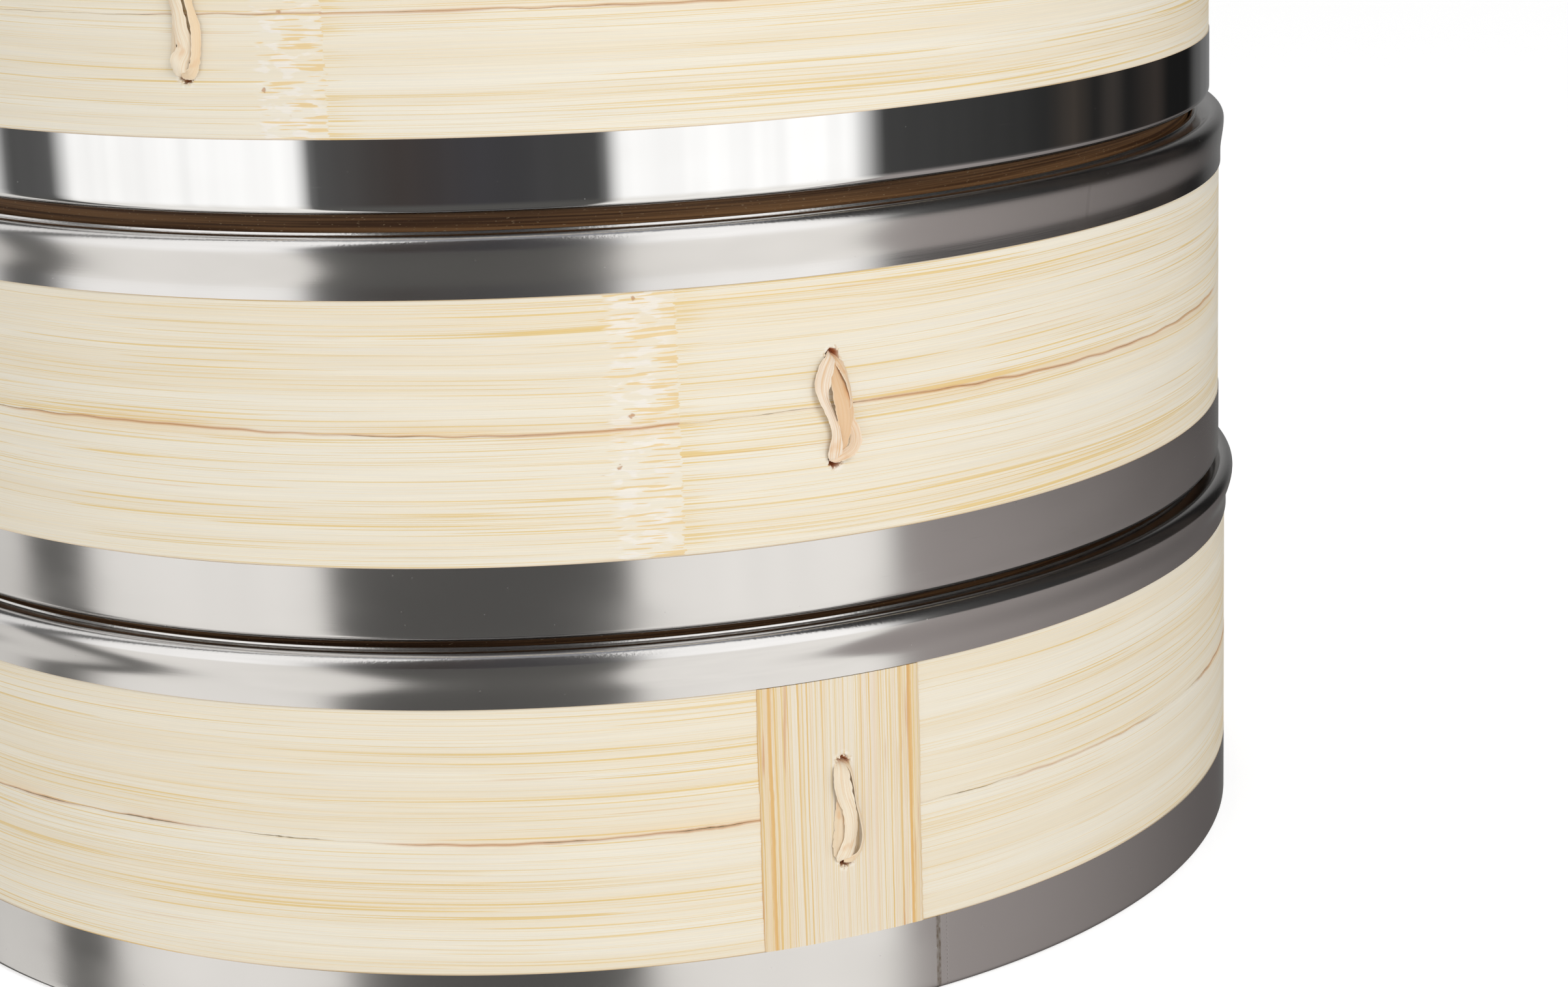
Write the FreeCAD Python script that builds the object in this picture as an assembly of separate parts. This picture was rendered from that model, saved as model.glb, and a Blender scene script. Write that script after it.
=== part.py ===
import FreeCAD, Part
import math
import os

# Bamboo steamer: two stacking tiers and a lid.  Millimetres, +Z up, front towards -Y.
# The origin is the centre of the lower tier's base, on the surface that it stands on.
# Angles are measured from the front, growing towards +X.

os.makedirs("parts", exist_ok=True)

Vector = FreeCAD.Vector
UP = Vector(0, 0, 1)
FULL_TURN = 360.0

# Outside radius of each wall.  Each piece is a little narrower than the one below it.
LOWER_RADIUS = 125.0
UPPER_RADIUS = 123.8
LID_RADIUS = 122.0

# Heights that show on the outside, from the bottom of each piece.
LOWER_BAND_HEIGHT = 12.8
LOWER_WOOD_HEIGHT = 43.5
UPPER_BAND_HEIGHT = 11.8
UPPER_WOOD_HEIGHT = 41.2
LID_BAND_HEIGHT = 11.35
LID_WOOD_HEIGHT = 36.5
LOWER_RIM_HEIGHT = 8.9
UPPER_RIM_HEIGHT = 9.5
GAP_ABOVE_LOWER_RIM = 1.3
GAP_ABOVE_UPPER_RIM = 2.75

# How the pieces nest: a skirt slips over the raised lip of the inner hoop below.
SKIRT_THICKNESS = 3.0
SKIRT_DEPTH = 7.5
SLIP = 0.6

# Bamboo stock.
HOOP_THICKNESS = 3.2
GLUE_GAP = 0.05
SEAM_GAP = 0.2
EDGE_CHAMFER = 0.6
RING_SPLIT = 0.6

# Floor of a tier.
BAR_WIDTH = 10.0
BAR_HEIGHT = 5.5
BAR_SPACING = 60.0
BAR_COUNT = 3
BAR_END_HEIGHT = 3.3
SLAT_WIDTH = 9.0
SLAT_THICKNESS = 2.0
SLAT_PITCH = 14.5
SLAT_COUNT = 15
NOTCH_PLAY = 0.2

# Sheet steel bands.
SHEET = 0.45
BAND_PROUD = 0.05
BAND_CURL_RADIUS = 1.2
BAND_CURL_LIP = 1.1
WOOD_FOOT = 0.6
RIM_PROUD = 0.25
RIM_STRAIGHT = 1.8
LOWER_RIM_FLARE = 1.2
UPPER_RIM_FLARE = 0.6
RIM_BEAD_RADIUS = 2.0
RIM_HEM_RADIUS = 0.6
RIM_HEM_DROP = 0.35
RIM_SEAT_DROP = 2.5
WOOD_TOP_IN_RIM = 6.2
RIM_INNER_GAP = 0.3

# Joint strip over the ends of the wall, and the raffia stitches.
STRIP_WIDTH = 28.0
STRIP_POCKET = 0.6
STRIP_PROUD = 0.4
STRIP_PLAY = 0.1
STITCH_LENGTH = 17.8
STITCH_WIDTH = 4.0
STITCH_THICKNESS = 1.7
STITCH_HOLE_RADIUS = 1.6
STITCH_LEG_RADIUS = 1.3
STITCH_CLEARANCE = 0.1
STITCH_SPACING = 120.0
STITCH_COUNT = 3
LOWER_STITCH_ANGLE = 19.6
LOWER_STRIP_ANGLE = 19.6
UPPER_STITCH_ANGLE = 20.0
UPPER_STRIP_ANGLE = 140.0
LID_STITCH_ANGLE = 95.0
LID_STRIP_ANGLE = 215.0
SPLIT_OFFSET = 3.0

# Woven top of the lid.
TOP_RING_HEIGHT = 3.4
WEAVE_OUTER = 1.8
WEAVE_INNER = 1.6
WEAVE_GAP = 0.1
WEAVE_FLAT = 4.0
DOME_RISE = 18.0
RIB_WIDTH = 9.0
RIB_THICKNESS = 2.4
RIB_SPACING = 58.0
RIB_COUNT = 3

# Derived places.
LOWER_BASE = 0.0
UPPER_BASE = LOWER_BAND_HEIGHT + LOWER_WOOD_HEIGHT + LOWER_RIM_HEIGHT + GAP_ABOVE_LOWER_RIM
LID_BASE = UPPER_BASE + UPPER_BAND_HEIGHT + UPPER_WOOD_HEIGHT + UPPER_RIM_HEIGHT + GAP_ABOVE_UPPER_RIM
FLOOR_UNDERSIDE = SKIRT_DEPTH
SLAT_UNDERSIDE = FLOOR_UNDERSIDE + BAR_HEIGHT
SLAT_TOP = SLAT_UNDERSIDE + SLAT_THICKNESS


def revolve(points):
    """Turn a closed outline of (radius, height) points about Z into a ring."""
    corners = [Vector(r, 0, z) for r, z in points]
    face = Part.Face(Part.makePolygon(corners + corners[:1]))
    return face.revolve(Vector(0, 0, 0), UP, FULL_TURN)


def at_angle(shape, angle):
    """Move a shape that was made at the front to an angle from the front."""
    moved = shape.copy()
    moved.rotate(Vector(0, 0, 0), UP, angle)
    return moved


def sector(r_in, r_out, z_low, z_high, angle, width):
    """Part of a ring, centred on an angle, with its width measured along its outside."""
    span = math.degrees(width / r_out)
    height = z_high - z_low
    foot = Vector(0, 0, z_low)
    outer = Part.makeCylinder(r_out, height, foot, UP, span)
    wedge = outer.cut(Part.makeCylinder(r_in, height, foot))
    wedge.rotate(Vector(0, 0, 0), UP, angle - 90.0 - span / 2.0)
    return wedge


def stitch_angles(first):
    return [first + STITCH_SPACING * i for i in range(STITCH_COUNT)]


def stitch_holes(reach_in, reach_out, middle, first_angle):
    """The drilled holes of every stitch, as radial rods to cut away."""
    rods = []
    for angle in stitch_angles(first_angle):
        for side in (-0.5, 0.5):
            foot = Vector(0, -reach_in, middle + side * STITCH_LENGTH)
            rod = Part.makeCylinder(STITCH_HOLE_RADIUS, reach_out - reach_in, foot, Vector(0, -1, 0))
            rods.append(at_angle(rod, angle))
    return Part.makeCompound(rods)


def wall_strips(radius, inside, base, band, wood, top, rim_rebate, strip_angle, stitch_angle):
    """The wall's two bent bamboo strips, edge to edge, with the ends under the joint strip."""
    seam = base + band + wood / 2.0
    band_top = base + band
    rim_foot = band_top + wood
    rebated = radius + BAND_PROUD - SHEET - GLUE_GAP
    skirt_inside = radius - SKIRT_THICKNESS
    corner = rebated - BAND_CURL_RADIUS
    bottom = revolve([
        (skirt_inside, base + WOOD_FOOT),
        (corner, base + WOOD_FOOT),
        (rebated, base + WOOD_FOOT + BAND_CURL_RADIUS),
        (rebated, band_top),
        (radius, band_top),
        (radius, seam - SEAM_GAP / 2.0),
        (inside, seam - SEAM_GAP / 2.0),
        (inside, base + SKIRT_DEPTH),
        (skirt_inside, base + SKIRT_DEPTH),
    ])
    upper = revolve([
        (inside, seam + SEAM_GAP / 2.0),
        (radius, seam + SEAM_GAP / 2.0),
        (radius, rim_foot),
        (radius - rim_rebate, rim_foot),
        (radius - rim_rebate, top),
        (inside, top),
    ])
    pocket = sector(radius - STRIP_POCKET, radius + 1.0, band_top, rim_foot, strip_angle,
                    STRIP_WIDTH + 2.0 * STRIP_PLAY)
    split = Part.makeBox(RING_SPLIT, radius, top - base + 2.0,
                         Vector(SPLIT_OFFSET, -radius - 1.0, base - 1.0))
    tools = [pocket, at_angle(split, strip_angle)]
    tools.append(stitch_holes(inside - 1.0, radius + 1.0, seam, stitch_angle))
    return [cut_away(strip, tools) for strip in (bottom, upper)]


def cut_away(shape, tools):
    for tool in tools:
        shape = shape.cut(tool)
    return shape


def joint_strip(radius, base, band, wood, strip_angle, stitch_angle):
    """The flat strip that covers the joint of the wall."""
    low = base + band + STRIP_PLAY
    high = base + band + wood - STRIP_PLAY
    strip = sector(radius - STRIP_POCKET + GLUE_GAP, radius + STRIP_PROUD, low, high, strip_angle,
                   STRIP_WIDTH)
    holes = stitch_holes(radius - 5.0, radius + 5.0, (low + high) / 2.0, stitch_angle)
    return strip.cut(holes)


def inner_hoop(inside, low, high, middle, stitch_angle):
    """The hoop inside the wall.  Its upper edge stands above the wall as the nesting lip."""
    outer = inside - GLUE_GAP
    inner = inside - HOOP_THICKNESS
    hoop = revolve([
        (inner, low),
        (outer, low),
        (outer, high - EDGE_CHAMFER),
        (outer - EDGE_CHAMFER, high),
        (inner + EDGE_CHAMFER, high),
        (inner, high - EDGE_CHAMFER),
    ])
    return hoop.cut(stitch_holes(inner - 1.0, outer + 1.0, middle, stitch_angle))


def stitches(inner_face, outer_faces, middle, first_angle):
    """Raffia loops through the wall: a pad outside, a pad inside and two legs between them."""
    loops = []
    for angle, outer_face in zip(stitch_angles(first_angle), outer_faces):
        start = outer_face + STITCH_CLEARANCE
        outside = stitch_pad(start, start + STITCH_THICKNESS, middle)
        stop = inner_face - STITCH_CLEARANCE
        inside = stitch_pad(stop - STITCH_THICKNESS, stop, middle)
        loop = outside.fuse(inside)
        for side in (-0.5, 0.5):
            foot = Vector(0, -stop + 0.5, middle + side * STITCH_LENGTH)
            leg = Part.makeCylinder(STITCH_LEG_RADIUS, start - stop + 1.0, foot, Vector(0, -1, 0))
            loop = loop.fuse(leg)
        loops.append(at_angle(loop.removeSplitter(), angle))
    return Part.makeCompound(loops)


def stitch_pad(r_in, r_out, middle):
    half_width = STITCH_WIDTH / 2.0
    length = STITCH_LENGTH + STITCH_WIDTH
    pad = Part.makeBox(STITCH_WIDTH, r_out - r_in, length,
                       Vector(-half_width, -r_out, middle - length / 2.0))
    upright = [e for e in pad.Edges if abs(e.tangentAt(e.FirstParameter).y) > 0.99]
    return pad.makeFillet(half_width * 0.9, upright)


def sheet_ring(edges):
    """Give a line of edges in the XZ plane the thickness of the sheet, and turn it about Z."""
    wire = Part.Wire(edges)
    face = wire.makeOffset2D(SHEET, 0, True, True)
    return face.revolve(Vector(0, 0, 0), UP, FULL_TURN)


def base_band(radius, base, height):
    """A plain band with its lower edge curled in under the wall."""
    outer = radius + BAND_PROUD
    inner = outer - BAND_CURL_RADIUS
    middle = inner + BAND_CURL_RADIUS * math.cos(math.radians(45.0))
    top = Vector(outer, 0, base + height)
    side = Vector(outer, 0, base + BAND_CURL_RADIUS)
    bend = Vector(middle, 0, base + BAND_CURL_RADIUS - (middle - inner))
    foot = Vector(inner, 0, base)
    lip = Vector(inner - BAND_CURL_LIP, 0, base)
    edges = [
        Part.makeLine(lip, foot),
        Part.Arc(foot, bend, side).toShape(),
        Part.makeLine(side, top),
    ]
    return sheet_ring(edges)


def rim_band(radius, inside, foot, height, flare):
    """The bell-mouth rim: it flares out, turns over in a bead and runs in to a hem at the lip."""
    outer = radius + RIM_PROUD
    bulge = outer + flare
    half_flare = flare / 2.0
    start = foot + RIM_STRAIGHT
    flare_top = foot + height - RIM_BEAD_RADIUS
    half_rise = (flare_top - start) / 2.0
    bend_radius = (half_rise ** 2 + half_flare ** 2) / (2.0 * half_flare)
    half_bend = math.asin(half_rise / bend_radius) / 2.0
    bend_in = bend_radius * (1.0 - math.cos(half_bend))
    bend_up = bend_radius * math.sin(half_bend)
    bead_centre = Vector(bulge - RIM_BEAD_RADIUS, 0, foot + height - RIM_BEAD_RADIUS)
    hem_centre = Vector(inside + RIM_INNER_GAP + RIM_HEM_RADIUS, 0,
                        foot + height - RIM_HEM_DROP - RIM_HEM_RADIUS)
    seat = Vector(inside + RIM_INNER_GAP, 0, foot + height - RIM_SEAT_DROP)

    # The flat between bead and hem touches both: this is the direction that it faces.
    apart = bead_centre - hem_centre
    facing = math.atan2(apart.z, apart.x)
    facing += math.acos((RIM_HEM_RADIUS - RIM_BEAD_RADIUS) / apart.Length)

    def bead(angle):
        return bead_centre + Vector(math.cos(angle), 0, math.sin(angle)) * RIM_BEAD_RADIUS

    def hem(angle):
        return hem_centre + Vector(math.cos(angle), 0, math.sin(angle)) * RIM_HEM_RADIUS

    edges = [
        Part.makeLine(Vector(outer, 0, foot), Vector(outer, 0, start)),
        Part.Arc(Vector(outer, 0, start), Vector(outer + bend_in, 0, start + bend_up),
                 Vector(outer + half_flare, 0, start + half_rise)).toShape(),
        Part.Arc(Vector(outer + half_flare, 0, start + half_rise),
                 Vector(bulge - bend_in, 0, flare_top - bend_up), Vector(bulge, 0, flare_top)).toShape(),
        Part.Arc(bead(0.0), bead(facing / 2.0), bead(facing)).toShape(),
        Part.makeLine(bead(facing), hem(facing)),
        Part.Arc(hem(facing), hem((facing + math.pi) / 2.0), hem(math.pi)).toShape(),
        Part.makeLine(hem(math.pi), seat),
    ]
    return sheet_ring(edges)


def floor_bars(inside, base):
    """The bars under the slats.  Their stepped ends sit in the floor hoop's notches."""
    foot = Vector(0, 0, base + FLOOR_UNDERSIDE)
    within_hoop = Part.makeCylinder(inside - HOOP_THICKNESS - NOTCH_PLAY, BAR_HEIGHT, foot)
    within_wall = Part.makeCylinder(inside - NOTCH_PLAY, BAR_END_HEIGHT, foot)
    outline = within_hoop.fuse(within_wall)
    bars = []
    for x in bar_places():
        bar = Part.makeBox(BAR_WIDTH, 2.0 * inside, BAR_HEIGHT,
                           Vector(x - BAR_WIDTH / 2.0, -inside, foot.z))
        bars.append(bar.common(outline))
    return Part.makeCompound(bars)


def bar_places():
    return [(i - (BAR_COUNT - 1) / 2.0) * BAR_SPACING for i in range(BAR_COUNT)]


def floor_slats(inside, base):
    """Split-bamboo slats with gaps for the steam."""
    round_end = Part.makeCylinder(inside - NOTCH_PLAY, SLAT_THICKNESS, Vector(0, 0, base + SLAT_UNDERSIDE))
    slats = []
    for i in range(SLAT_COUNT):
        y = (i - (SLAT_COUNT - 1) / 2.0) * SLAT_PITCH
        slat = Part.makeBox(2.0 * inside, SLAT_WIDTH, SLAT_THICKNESS,
                            Vector(-inside, y - SLAT_WIDTH / 2.0, base + SLAT_UNDERSIDE))
        slats.append(slat.common(round_end))
    return Part.makeCompound(slats)


def floor_hoop(inside, base):
    """The hoop that carries the slats' ends, notched for the bars."""
    low = base + FLOOR_UNDERSIDE
    outer = inside - GLUE_GAP
    hoop = revolve([
        (inside - HOOP_THICKNESS, low),
        (outer, low),
        (outer, low + BAR_HEIGHT),
        (inside - HOOP_THICKNESS, low + BAR_HEIGHT),
    ])
    width = BAR_WIDTH + 2.0 * NOTCH_PLAY
    depth = BAR_END_HEIGHT + NOTCH_PLAY
    for x in bar_places():
        notch = Part.makeBox(width, 2.0 * inside, depth + 1.0,
                             Vector(x - width / 2.0, -inside, low - 1.0))
        hoop = hoop.cut(notch)
    return hoop


def tier(name, radius, inside, base, band, wood, rim, flare, lip_top, strip_angle, stitch_angle):
    """All the pieces of one tier."""
    seam = base + band + wood / 2.0
    rim_foot = base + band + wood
    rim_rebate = SHEET - RIM_PROUD + GLUE_GAP
    strips = wall_strips(radius, inside, base, band, wood, rim_foot + WOOD_TOP_IN_RIM, rim_rebate,
                         strip_angle, stitch_angle)
    over_strip = [abs(a - strip_angle) < 1.0 for a in stitch_angles(stitch_angle)]
    faces = [radius + (STRIP_PROUD if over else 0.0) for over in over_strip]
    return {
        name + "_wall_bottom_strip": strips[0],
        name + "_wall_top_strip": strips[1],
        name + "_joint_strip": joint_strip(radius, base, band, wood, strip_angle, stitch_angle),
        name + "_inner_hoop": inner_hoop(inside, base + SLAT_TOP, lip_top, seam, stitch_angle),
        name + "_floor_hoop": floor_hoop(inside, base),
        name + "_floor_bars": floor_bars(inside, base),
        name + "_floor_slats": floor_slats(inside, base),
        name + "_base_band": base_band(radius, base, band),
        name + "_rim_band": rim_band(radius, inside, rim_foot, rim, flare),
        name + "_stitches": stitches(inside - HOOP_THICKNESS, faces, seam, stitch_angle),
    }


def dome_outline(r_edge, z_edge, thickness):
    """Section of a domed mat: a flat edge, then a shallow crown.  Its underside is z_edge."""
    r_flat = r_edge - WEAVE_FLAT
    crown = (r_flat ** 2 + DOME_RISE ** 2) / (2.0 * DOME_RISE)
    centre = z_edge + DOME_RISE - crown

    def crown_point(r, lift):
        return Vector(r, 0, centre + math.sqrt(crown ** 2 - r ** 2) + lift)

    inner_flat = Vector(r_flat, 0, z_edge)
    outer_flat = Vector(r_flat, 0, z_edge + thickness)
    half = r_flat / 2.0
    edges = [
        Part.makeLine(Vector(0, 0, z_edge + DOME_RISE), Vector(0, 0, z_edge + DOME_RISE + thickness)),
        Part.Arc(crown_point(0, thickness), crown_point(half, thickness), outer_flat).toShape(),
        Part.makeLine(outer_flat, Vector(r_edge, 0, z_edge + thickness)),
        Part.makeLine(Vector(r_edge, 0, z_edge + thickness), Vector(r_edge, 0, z_edge)),
        Part.makeLine(Vector(r_edge, 0, z_edge), inner_flat),
        Part.Arc(inner_flat, crown_point(half, 0), crown_point(0, 0)).toShape(),
    ]
    face = Part.Face(Part.Wire(edges))
    return face.revolve(Vector(0, 0, 0), UP, FULL_TURN)


def lid_ribs(inside, seat):
    """Bent bamboo ribs under the woven top, let into the inner hoop's upper edge."""
    reach = inside - NOTCH_PLAY
    shell = dome_outline(reach, seat - RIB_THICKNESS, RIB_THICKNESS - WEAVE_GAP)
    ribs = []
    for i in range(RIB_COUNT):
        x = (i - (RIB_COUNT - 1) / 2.0) * RIB_SPACING
        slab = Part.makeBox(RIB_WIDTH, 2.0 * inside, DOME_RISE + 4.0 * RIB_THICKNESS,
                            Vector(x - RIB_WIDTH / 2.0, -inside, seat - 2.0 * RIB_THICKNESS))
        ribs.append(shell.common(slab))
    return Part.makeCompound(ribs)


def lid_inner_hoop(inside, low, high, middle):
    """The lid's inner hoop, notched for the ribs."""
    hoop = inner_hoop(inside, low, high + EDGE_CHAMFER, middle, LID_STITCH_ANGLE)
    top = Part.makeCylinder(inside + 1.0, 2.0, Vector(0, 0, high))
    hoop = hoop.cut(top)
    for i in range(RIB_COUNT):
        x = (i - (RIB_COUNT - 1) / 2.0) * RIB_SPACING
        width = RIB_WIDTH + 2.0 * NOTCH_PLAY
        notch = Part.makeBox(width, 2.0 * inside, RIB_THICKNESS + NOTCH_PLAY + 1.0,
                             Vector(x - width / 2.0, -inside, high - RIB_THICKNESS - NOTCH_PLAY))
        hoop = hoop.cut(notch)
    return hoop


def lid():
    """All the pieces of the lid."""
    base = LID_BASE
    radius = LID_RADIUS
    inside = radius - SKIRT_THICKNESS
    seam = base + LID_BAND_HEIGHT + LID_WOOD_HEIGHT / 2.0
    top = base + LID_BAND_HEIGHT + LID_WOOD_HEIGHT
    weave_edge = inside - GLUE_GAP
    outer_seat = top - TOP_RING_HEIGHT - WEAVE_OUTER
    inner_seat = outer_seat - WEAVE_GAP - WEAVE_INNER
    strips = wall_strips(radius, inside, base, LID_BAND_HEIGHT, LID_WOOD_HEIGHT, top, 0.0,
                         LID_STRIP_ANGLE, LID_STITCH_ANGLE)
    faces = [radius + (STRIP_PROUD if abs(a - LID_STRIP_ANGLE) < 1.0 else 0.0)
             for a in stitch_angles(LID_STITCH_ANGLE)]
    hoop_top = inner_seat - WEAVE_GAP
    top_ring = revolve([
        (inside - HOOP_THICKNESS, outer_seat + WEAVE_OUTER + GLUE_GAP),
        (inside - GLUE_GAP, outer_seat + WEAVE_OUTER + GLUE_GAP),
        (inside - GLUE_GAP, top - EDGE_CHAMFER),
        (inside - EDGE_CHAMFER, top),
        (inside - HOOP_THICKNESS + EDGE_CHAMFER, top),
        (inside - HOOP_THICKNESS, top - EDGE_CHAMFER),
    ])
    return {
        "lid_wall_bottom_strip": strips[0],
        "lid_wall_top_strip": strips[1],
        "lid_joint_strip": joint_strip(radius, base, LID_BAND_HEIGHT, LID_WOOD_HEIGHT,
                                       LID_STRIP_ANGLE, LID_STITCH_ANGLE),
        "lid_inner_hoop": lid_inner_hoop(inside, base + SKIRT_DEPTH, hoop_top, seam),
        "lid_ribs": lid_ribs(inside, inner_seat),
        "lid_weave_inner": dome_outline(weave_edge, inner_seat, WEAVE_INNER),
        "lid_weave_outer": dome_outline(weave_edge, outer_seat, WEAVE_OUTER),
        "lid_top_ring": top_ring,
        "lid_base_band": base_band(radius, base, LID_BAND_HEIGHT),
        "lid_stitches": stitches(inside - HOOP_THICKNESS, faces, seam, LID_STITCH_ANGLE),
    }


pieces = {}
lower_inside = UPPER_RADIUS - SKIRT_THICKNESS - SLIP
upper_inside = LID_RADIUS - SKIRT_THICKNESS - SLIP
pieces.update(tier("lower", LOWER_RADIUS, lower_inside, LOWER_BASE, LOWER_BAND_HEIGHT, LOWER_WOOD_HEIGHT,
                   LOWER_RIM_HEIGHT, LOWER_RIM_FLARE, UPPER_BASE + SKIRT_DEPTH,
                   LOWER_STRIP_ANGLE, LOWER_STITCH_ANGLE))
pieces.update(tier("upper", UPPER_RADIUS, upper_inside, UPPER_BASE, UPPER_BAND_HEIGHT, UPPER_WOOD_HEIGHT,
                   UPPER_RIM_HEIGHT, UPPER_RIM_FLARE, LID_BASE + SKIRT_DEPTH,
                   UPPER_STRIP_ANGLE, UPPER_STITCH_ANGLE))
pieces.update(lid())

for node, shape in pieces.items():
    print(node, "valid", shape.isValid(), "solids", len(shape.Solids), "volume", round(shape.Volume, 1))
    shape.exportStep("parts/" + node + ".step")
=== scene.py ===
"""Looks of the bamboo steamer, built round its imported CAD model.

The frame is the CAD model's: +Z up, front towards -Y, angles measured from the front towards +X.
Shapes are worked out in millimetres and become metres when a mesh is made.
"""
import math
from types import SimpleNamespace

import bpy
import numpy as np
from mathutils import Matrix, Vector


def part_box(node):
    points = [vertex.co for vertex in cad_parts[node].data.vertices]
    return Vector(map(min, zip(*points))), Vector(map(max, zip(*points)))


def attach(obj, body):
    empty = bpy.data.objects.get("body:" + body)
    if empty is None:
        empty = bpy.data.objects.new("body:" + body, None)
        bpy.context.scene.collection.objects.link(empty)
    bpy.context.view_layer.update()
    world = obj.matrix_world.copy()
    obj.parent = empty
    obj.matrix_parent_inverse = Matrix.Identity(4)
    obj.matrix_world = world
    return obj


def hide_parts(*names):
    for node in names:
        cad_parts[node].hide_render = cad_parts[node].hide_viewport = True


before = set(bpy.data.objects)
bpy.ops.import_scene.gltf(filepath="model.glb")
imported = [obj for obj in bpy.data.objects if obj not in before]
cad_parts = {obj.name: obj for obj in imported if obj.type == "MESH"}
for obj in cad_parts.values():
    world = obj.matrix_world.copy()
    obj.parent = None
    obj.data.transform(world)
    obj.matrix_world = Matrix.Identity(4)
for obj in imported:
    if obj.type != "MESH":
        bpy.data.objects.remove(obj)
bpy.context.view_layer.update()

MM = 0.001

# Where the joint strips and stitches sit, in degrees from the front.
STRIP_ANGLE = {"lower": 19.6, "upper": 140.0, "lid": 215.0}
STITCH_ANGLE = {"lower": 19.6, "upper": 20.0, "lid": 95.0}
STITCH_SPACING = 120.0
STITCH_HOLE = 1.2
STITCH_REACH = 8.9
FIBRES_AT_HOLE = 9

# Heights of the stitch holes above and below the seam, which vary a little from piece to piece.
HOLES = {"lower": (7.75, -8.4), "upper": (8.0, -8.4), "lid": (8.9, -8.9)}

# What the shading takes for "no edge, seam or hole near".
FAR = 30.0

# Bamboo stock and sheet steel, as in the CAD model.
SKIRT_THICKNESS = 3.0
SKIRT_DEPTH = 7.5
HOOP_THICKNESS = 3.2
HOOP_START = 165.0
GLUE_GAP = 0.05
STRIP_WIDTH = 28.0
STRIP_PROUD = 0.4
STRIP_POCKET = 0.55
SHEET = 0.45
BAND_CURL = 1.2
BAND_LIP = 1.1
WOOD_FOOT = 0.6
RIM_PROUD = 0.25
RIM_STRAIGHT = 1.8
RIM_BEAD = 2.0
RIM_HEM = 0.6
RIM_HEM_DROP = 0.35
HEM_RIDGE = 0.27
RIM_SEAT_DROP = 2.5
RIM_INNER_GAP = 0.3
BAR_SPACING = 60.0
BAR_WIDTH = 9.7
BAR_END_HEIGHT = 3.3
SLAT_COUNT = 15
SLAT_WIDTH = 8.9
SLAT_MARGIN = 4.5
RIB_SPACING = 58.0
RIB_WIDTH = 9.0
RIB_THICKNESS = 2.3
DOME_RISE = 18.0
DOME_FLAT = 4.0

# Bamboo nodes: the arc from the front to the first one, and how many go round a wall.
NODE_PLACE = {"lower": -122.0, "upper": 13.4, "lid": -36.5}
NODES_ROUND = 2

# Seam between the two strips of a wall: widest gap, and how far it stands off its nominal height.
SEAM_OPEN = {"lower": 0.10, "upper": 0.035, "lid": 0.025}
SEAM_DROP = {"lower": -2.5, "upper": 0.4, "lid": 0.0}
SEAM_DROP_FADES = 90.0


# ---------------------------------------------------------------- shape helpers

def box_mm(node):
    low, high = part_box(node)
    return np.array(low) / MM, np.array(high) / MM


def smooth(low, high, x):
    """0 below low, 1 above high, and an S-curve between them."""
    t = np.clip((x - low) / (high - low), 0.0, 1.0)
    return t * t * (3.0 - 2.0 * t)


def round_noise(seed, degrees, first, last):
    """Noise round a ring, about -1 to 1, from waves that fit the ring first to last times."""
    terms = 14
    rng = np.random.default_rng(seed)
    turns = rng.integers(first, last + 1, terms)
    phases = rng.uniform(0.0, 2.0 * np.pi, terms)
    waves = np.cos(np.radians(degrees)[..., None] * turns + phases)
    return waves.sum(-1) / math.sqrt(terms)


def line_noise(seed, x, longest, shortest):
    """Noise along a line, about -1 to 1, with wavelengths in the units of x."""
    terms = 10
    rng = np.random.default_rng(seed)
    lengths = np.exp(rng.uniform(math.log(shortest), math.log(longest), terms))
    phases = rng.uniform(0.0, 2.0 * np.pi, terms)
    return np.cos(2.0 * np.pi * x[..., None] / lengths + phases).sum(-1) / math.sqrt(terms)


def on_ring(radius, degrees, z):
    """Points at a radius, an angle from the front and a height."""
    a = np.radians(degrees)
    return np.stack(np.broadcast_arrays(radius * np.sin(a), -radius * np.cos(a), z), -1)


def grid_faces(rows, cols, wrap_rows=False, wrap_cols=False):
    r = np.arange(rows if wrap_rows else rows - 1)[:, None]
    c = np.arange(cols if wrap_cols else cols - 1)[None, :]
    r_next = (r + 1) % rows
    c_next = (c + 1) % cols
    corners = [r * cols + c, r * cols + c_next, r_next * cols + c_next, r_next * cols + c]
    return np.stack(np.broadcast_arrays(*corners), -1).reshape(-1, 4)


def signed_volume(points, faces):
    a, b, c, d = (points[faces[:, k]] for k in range(4))
    return (np.einsum("ij,ij->i", a, np.cross(b, c)) + np.einsum("ij,ij->i", a, np.cross(c, d))).sum()


def outward(points, faces):
    return faces if signed_volume(points, faces) > 0.0 else faces[:, ::-1]


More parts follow.
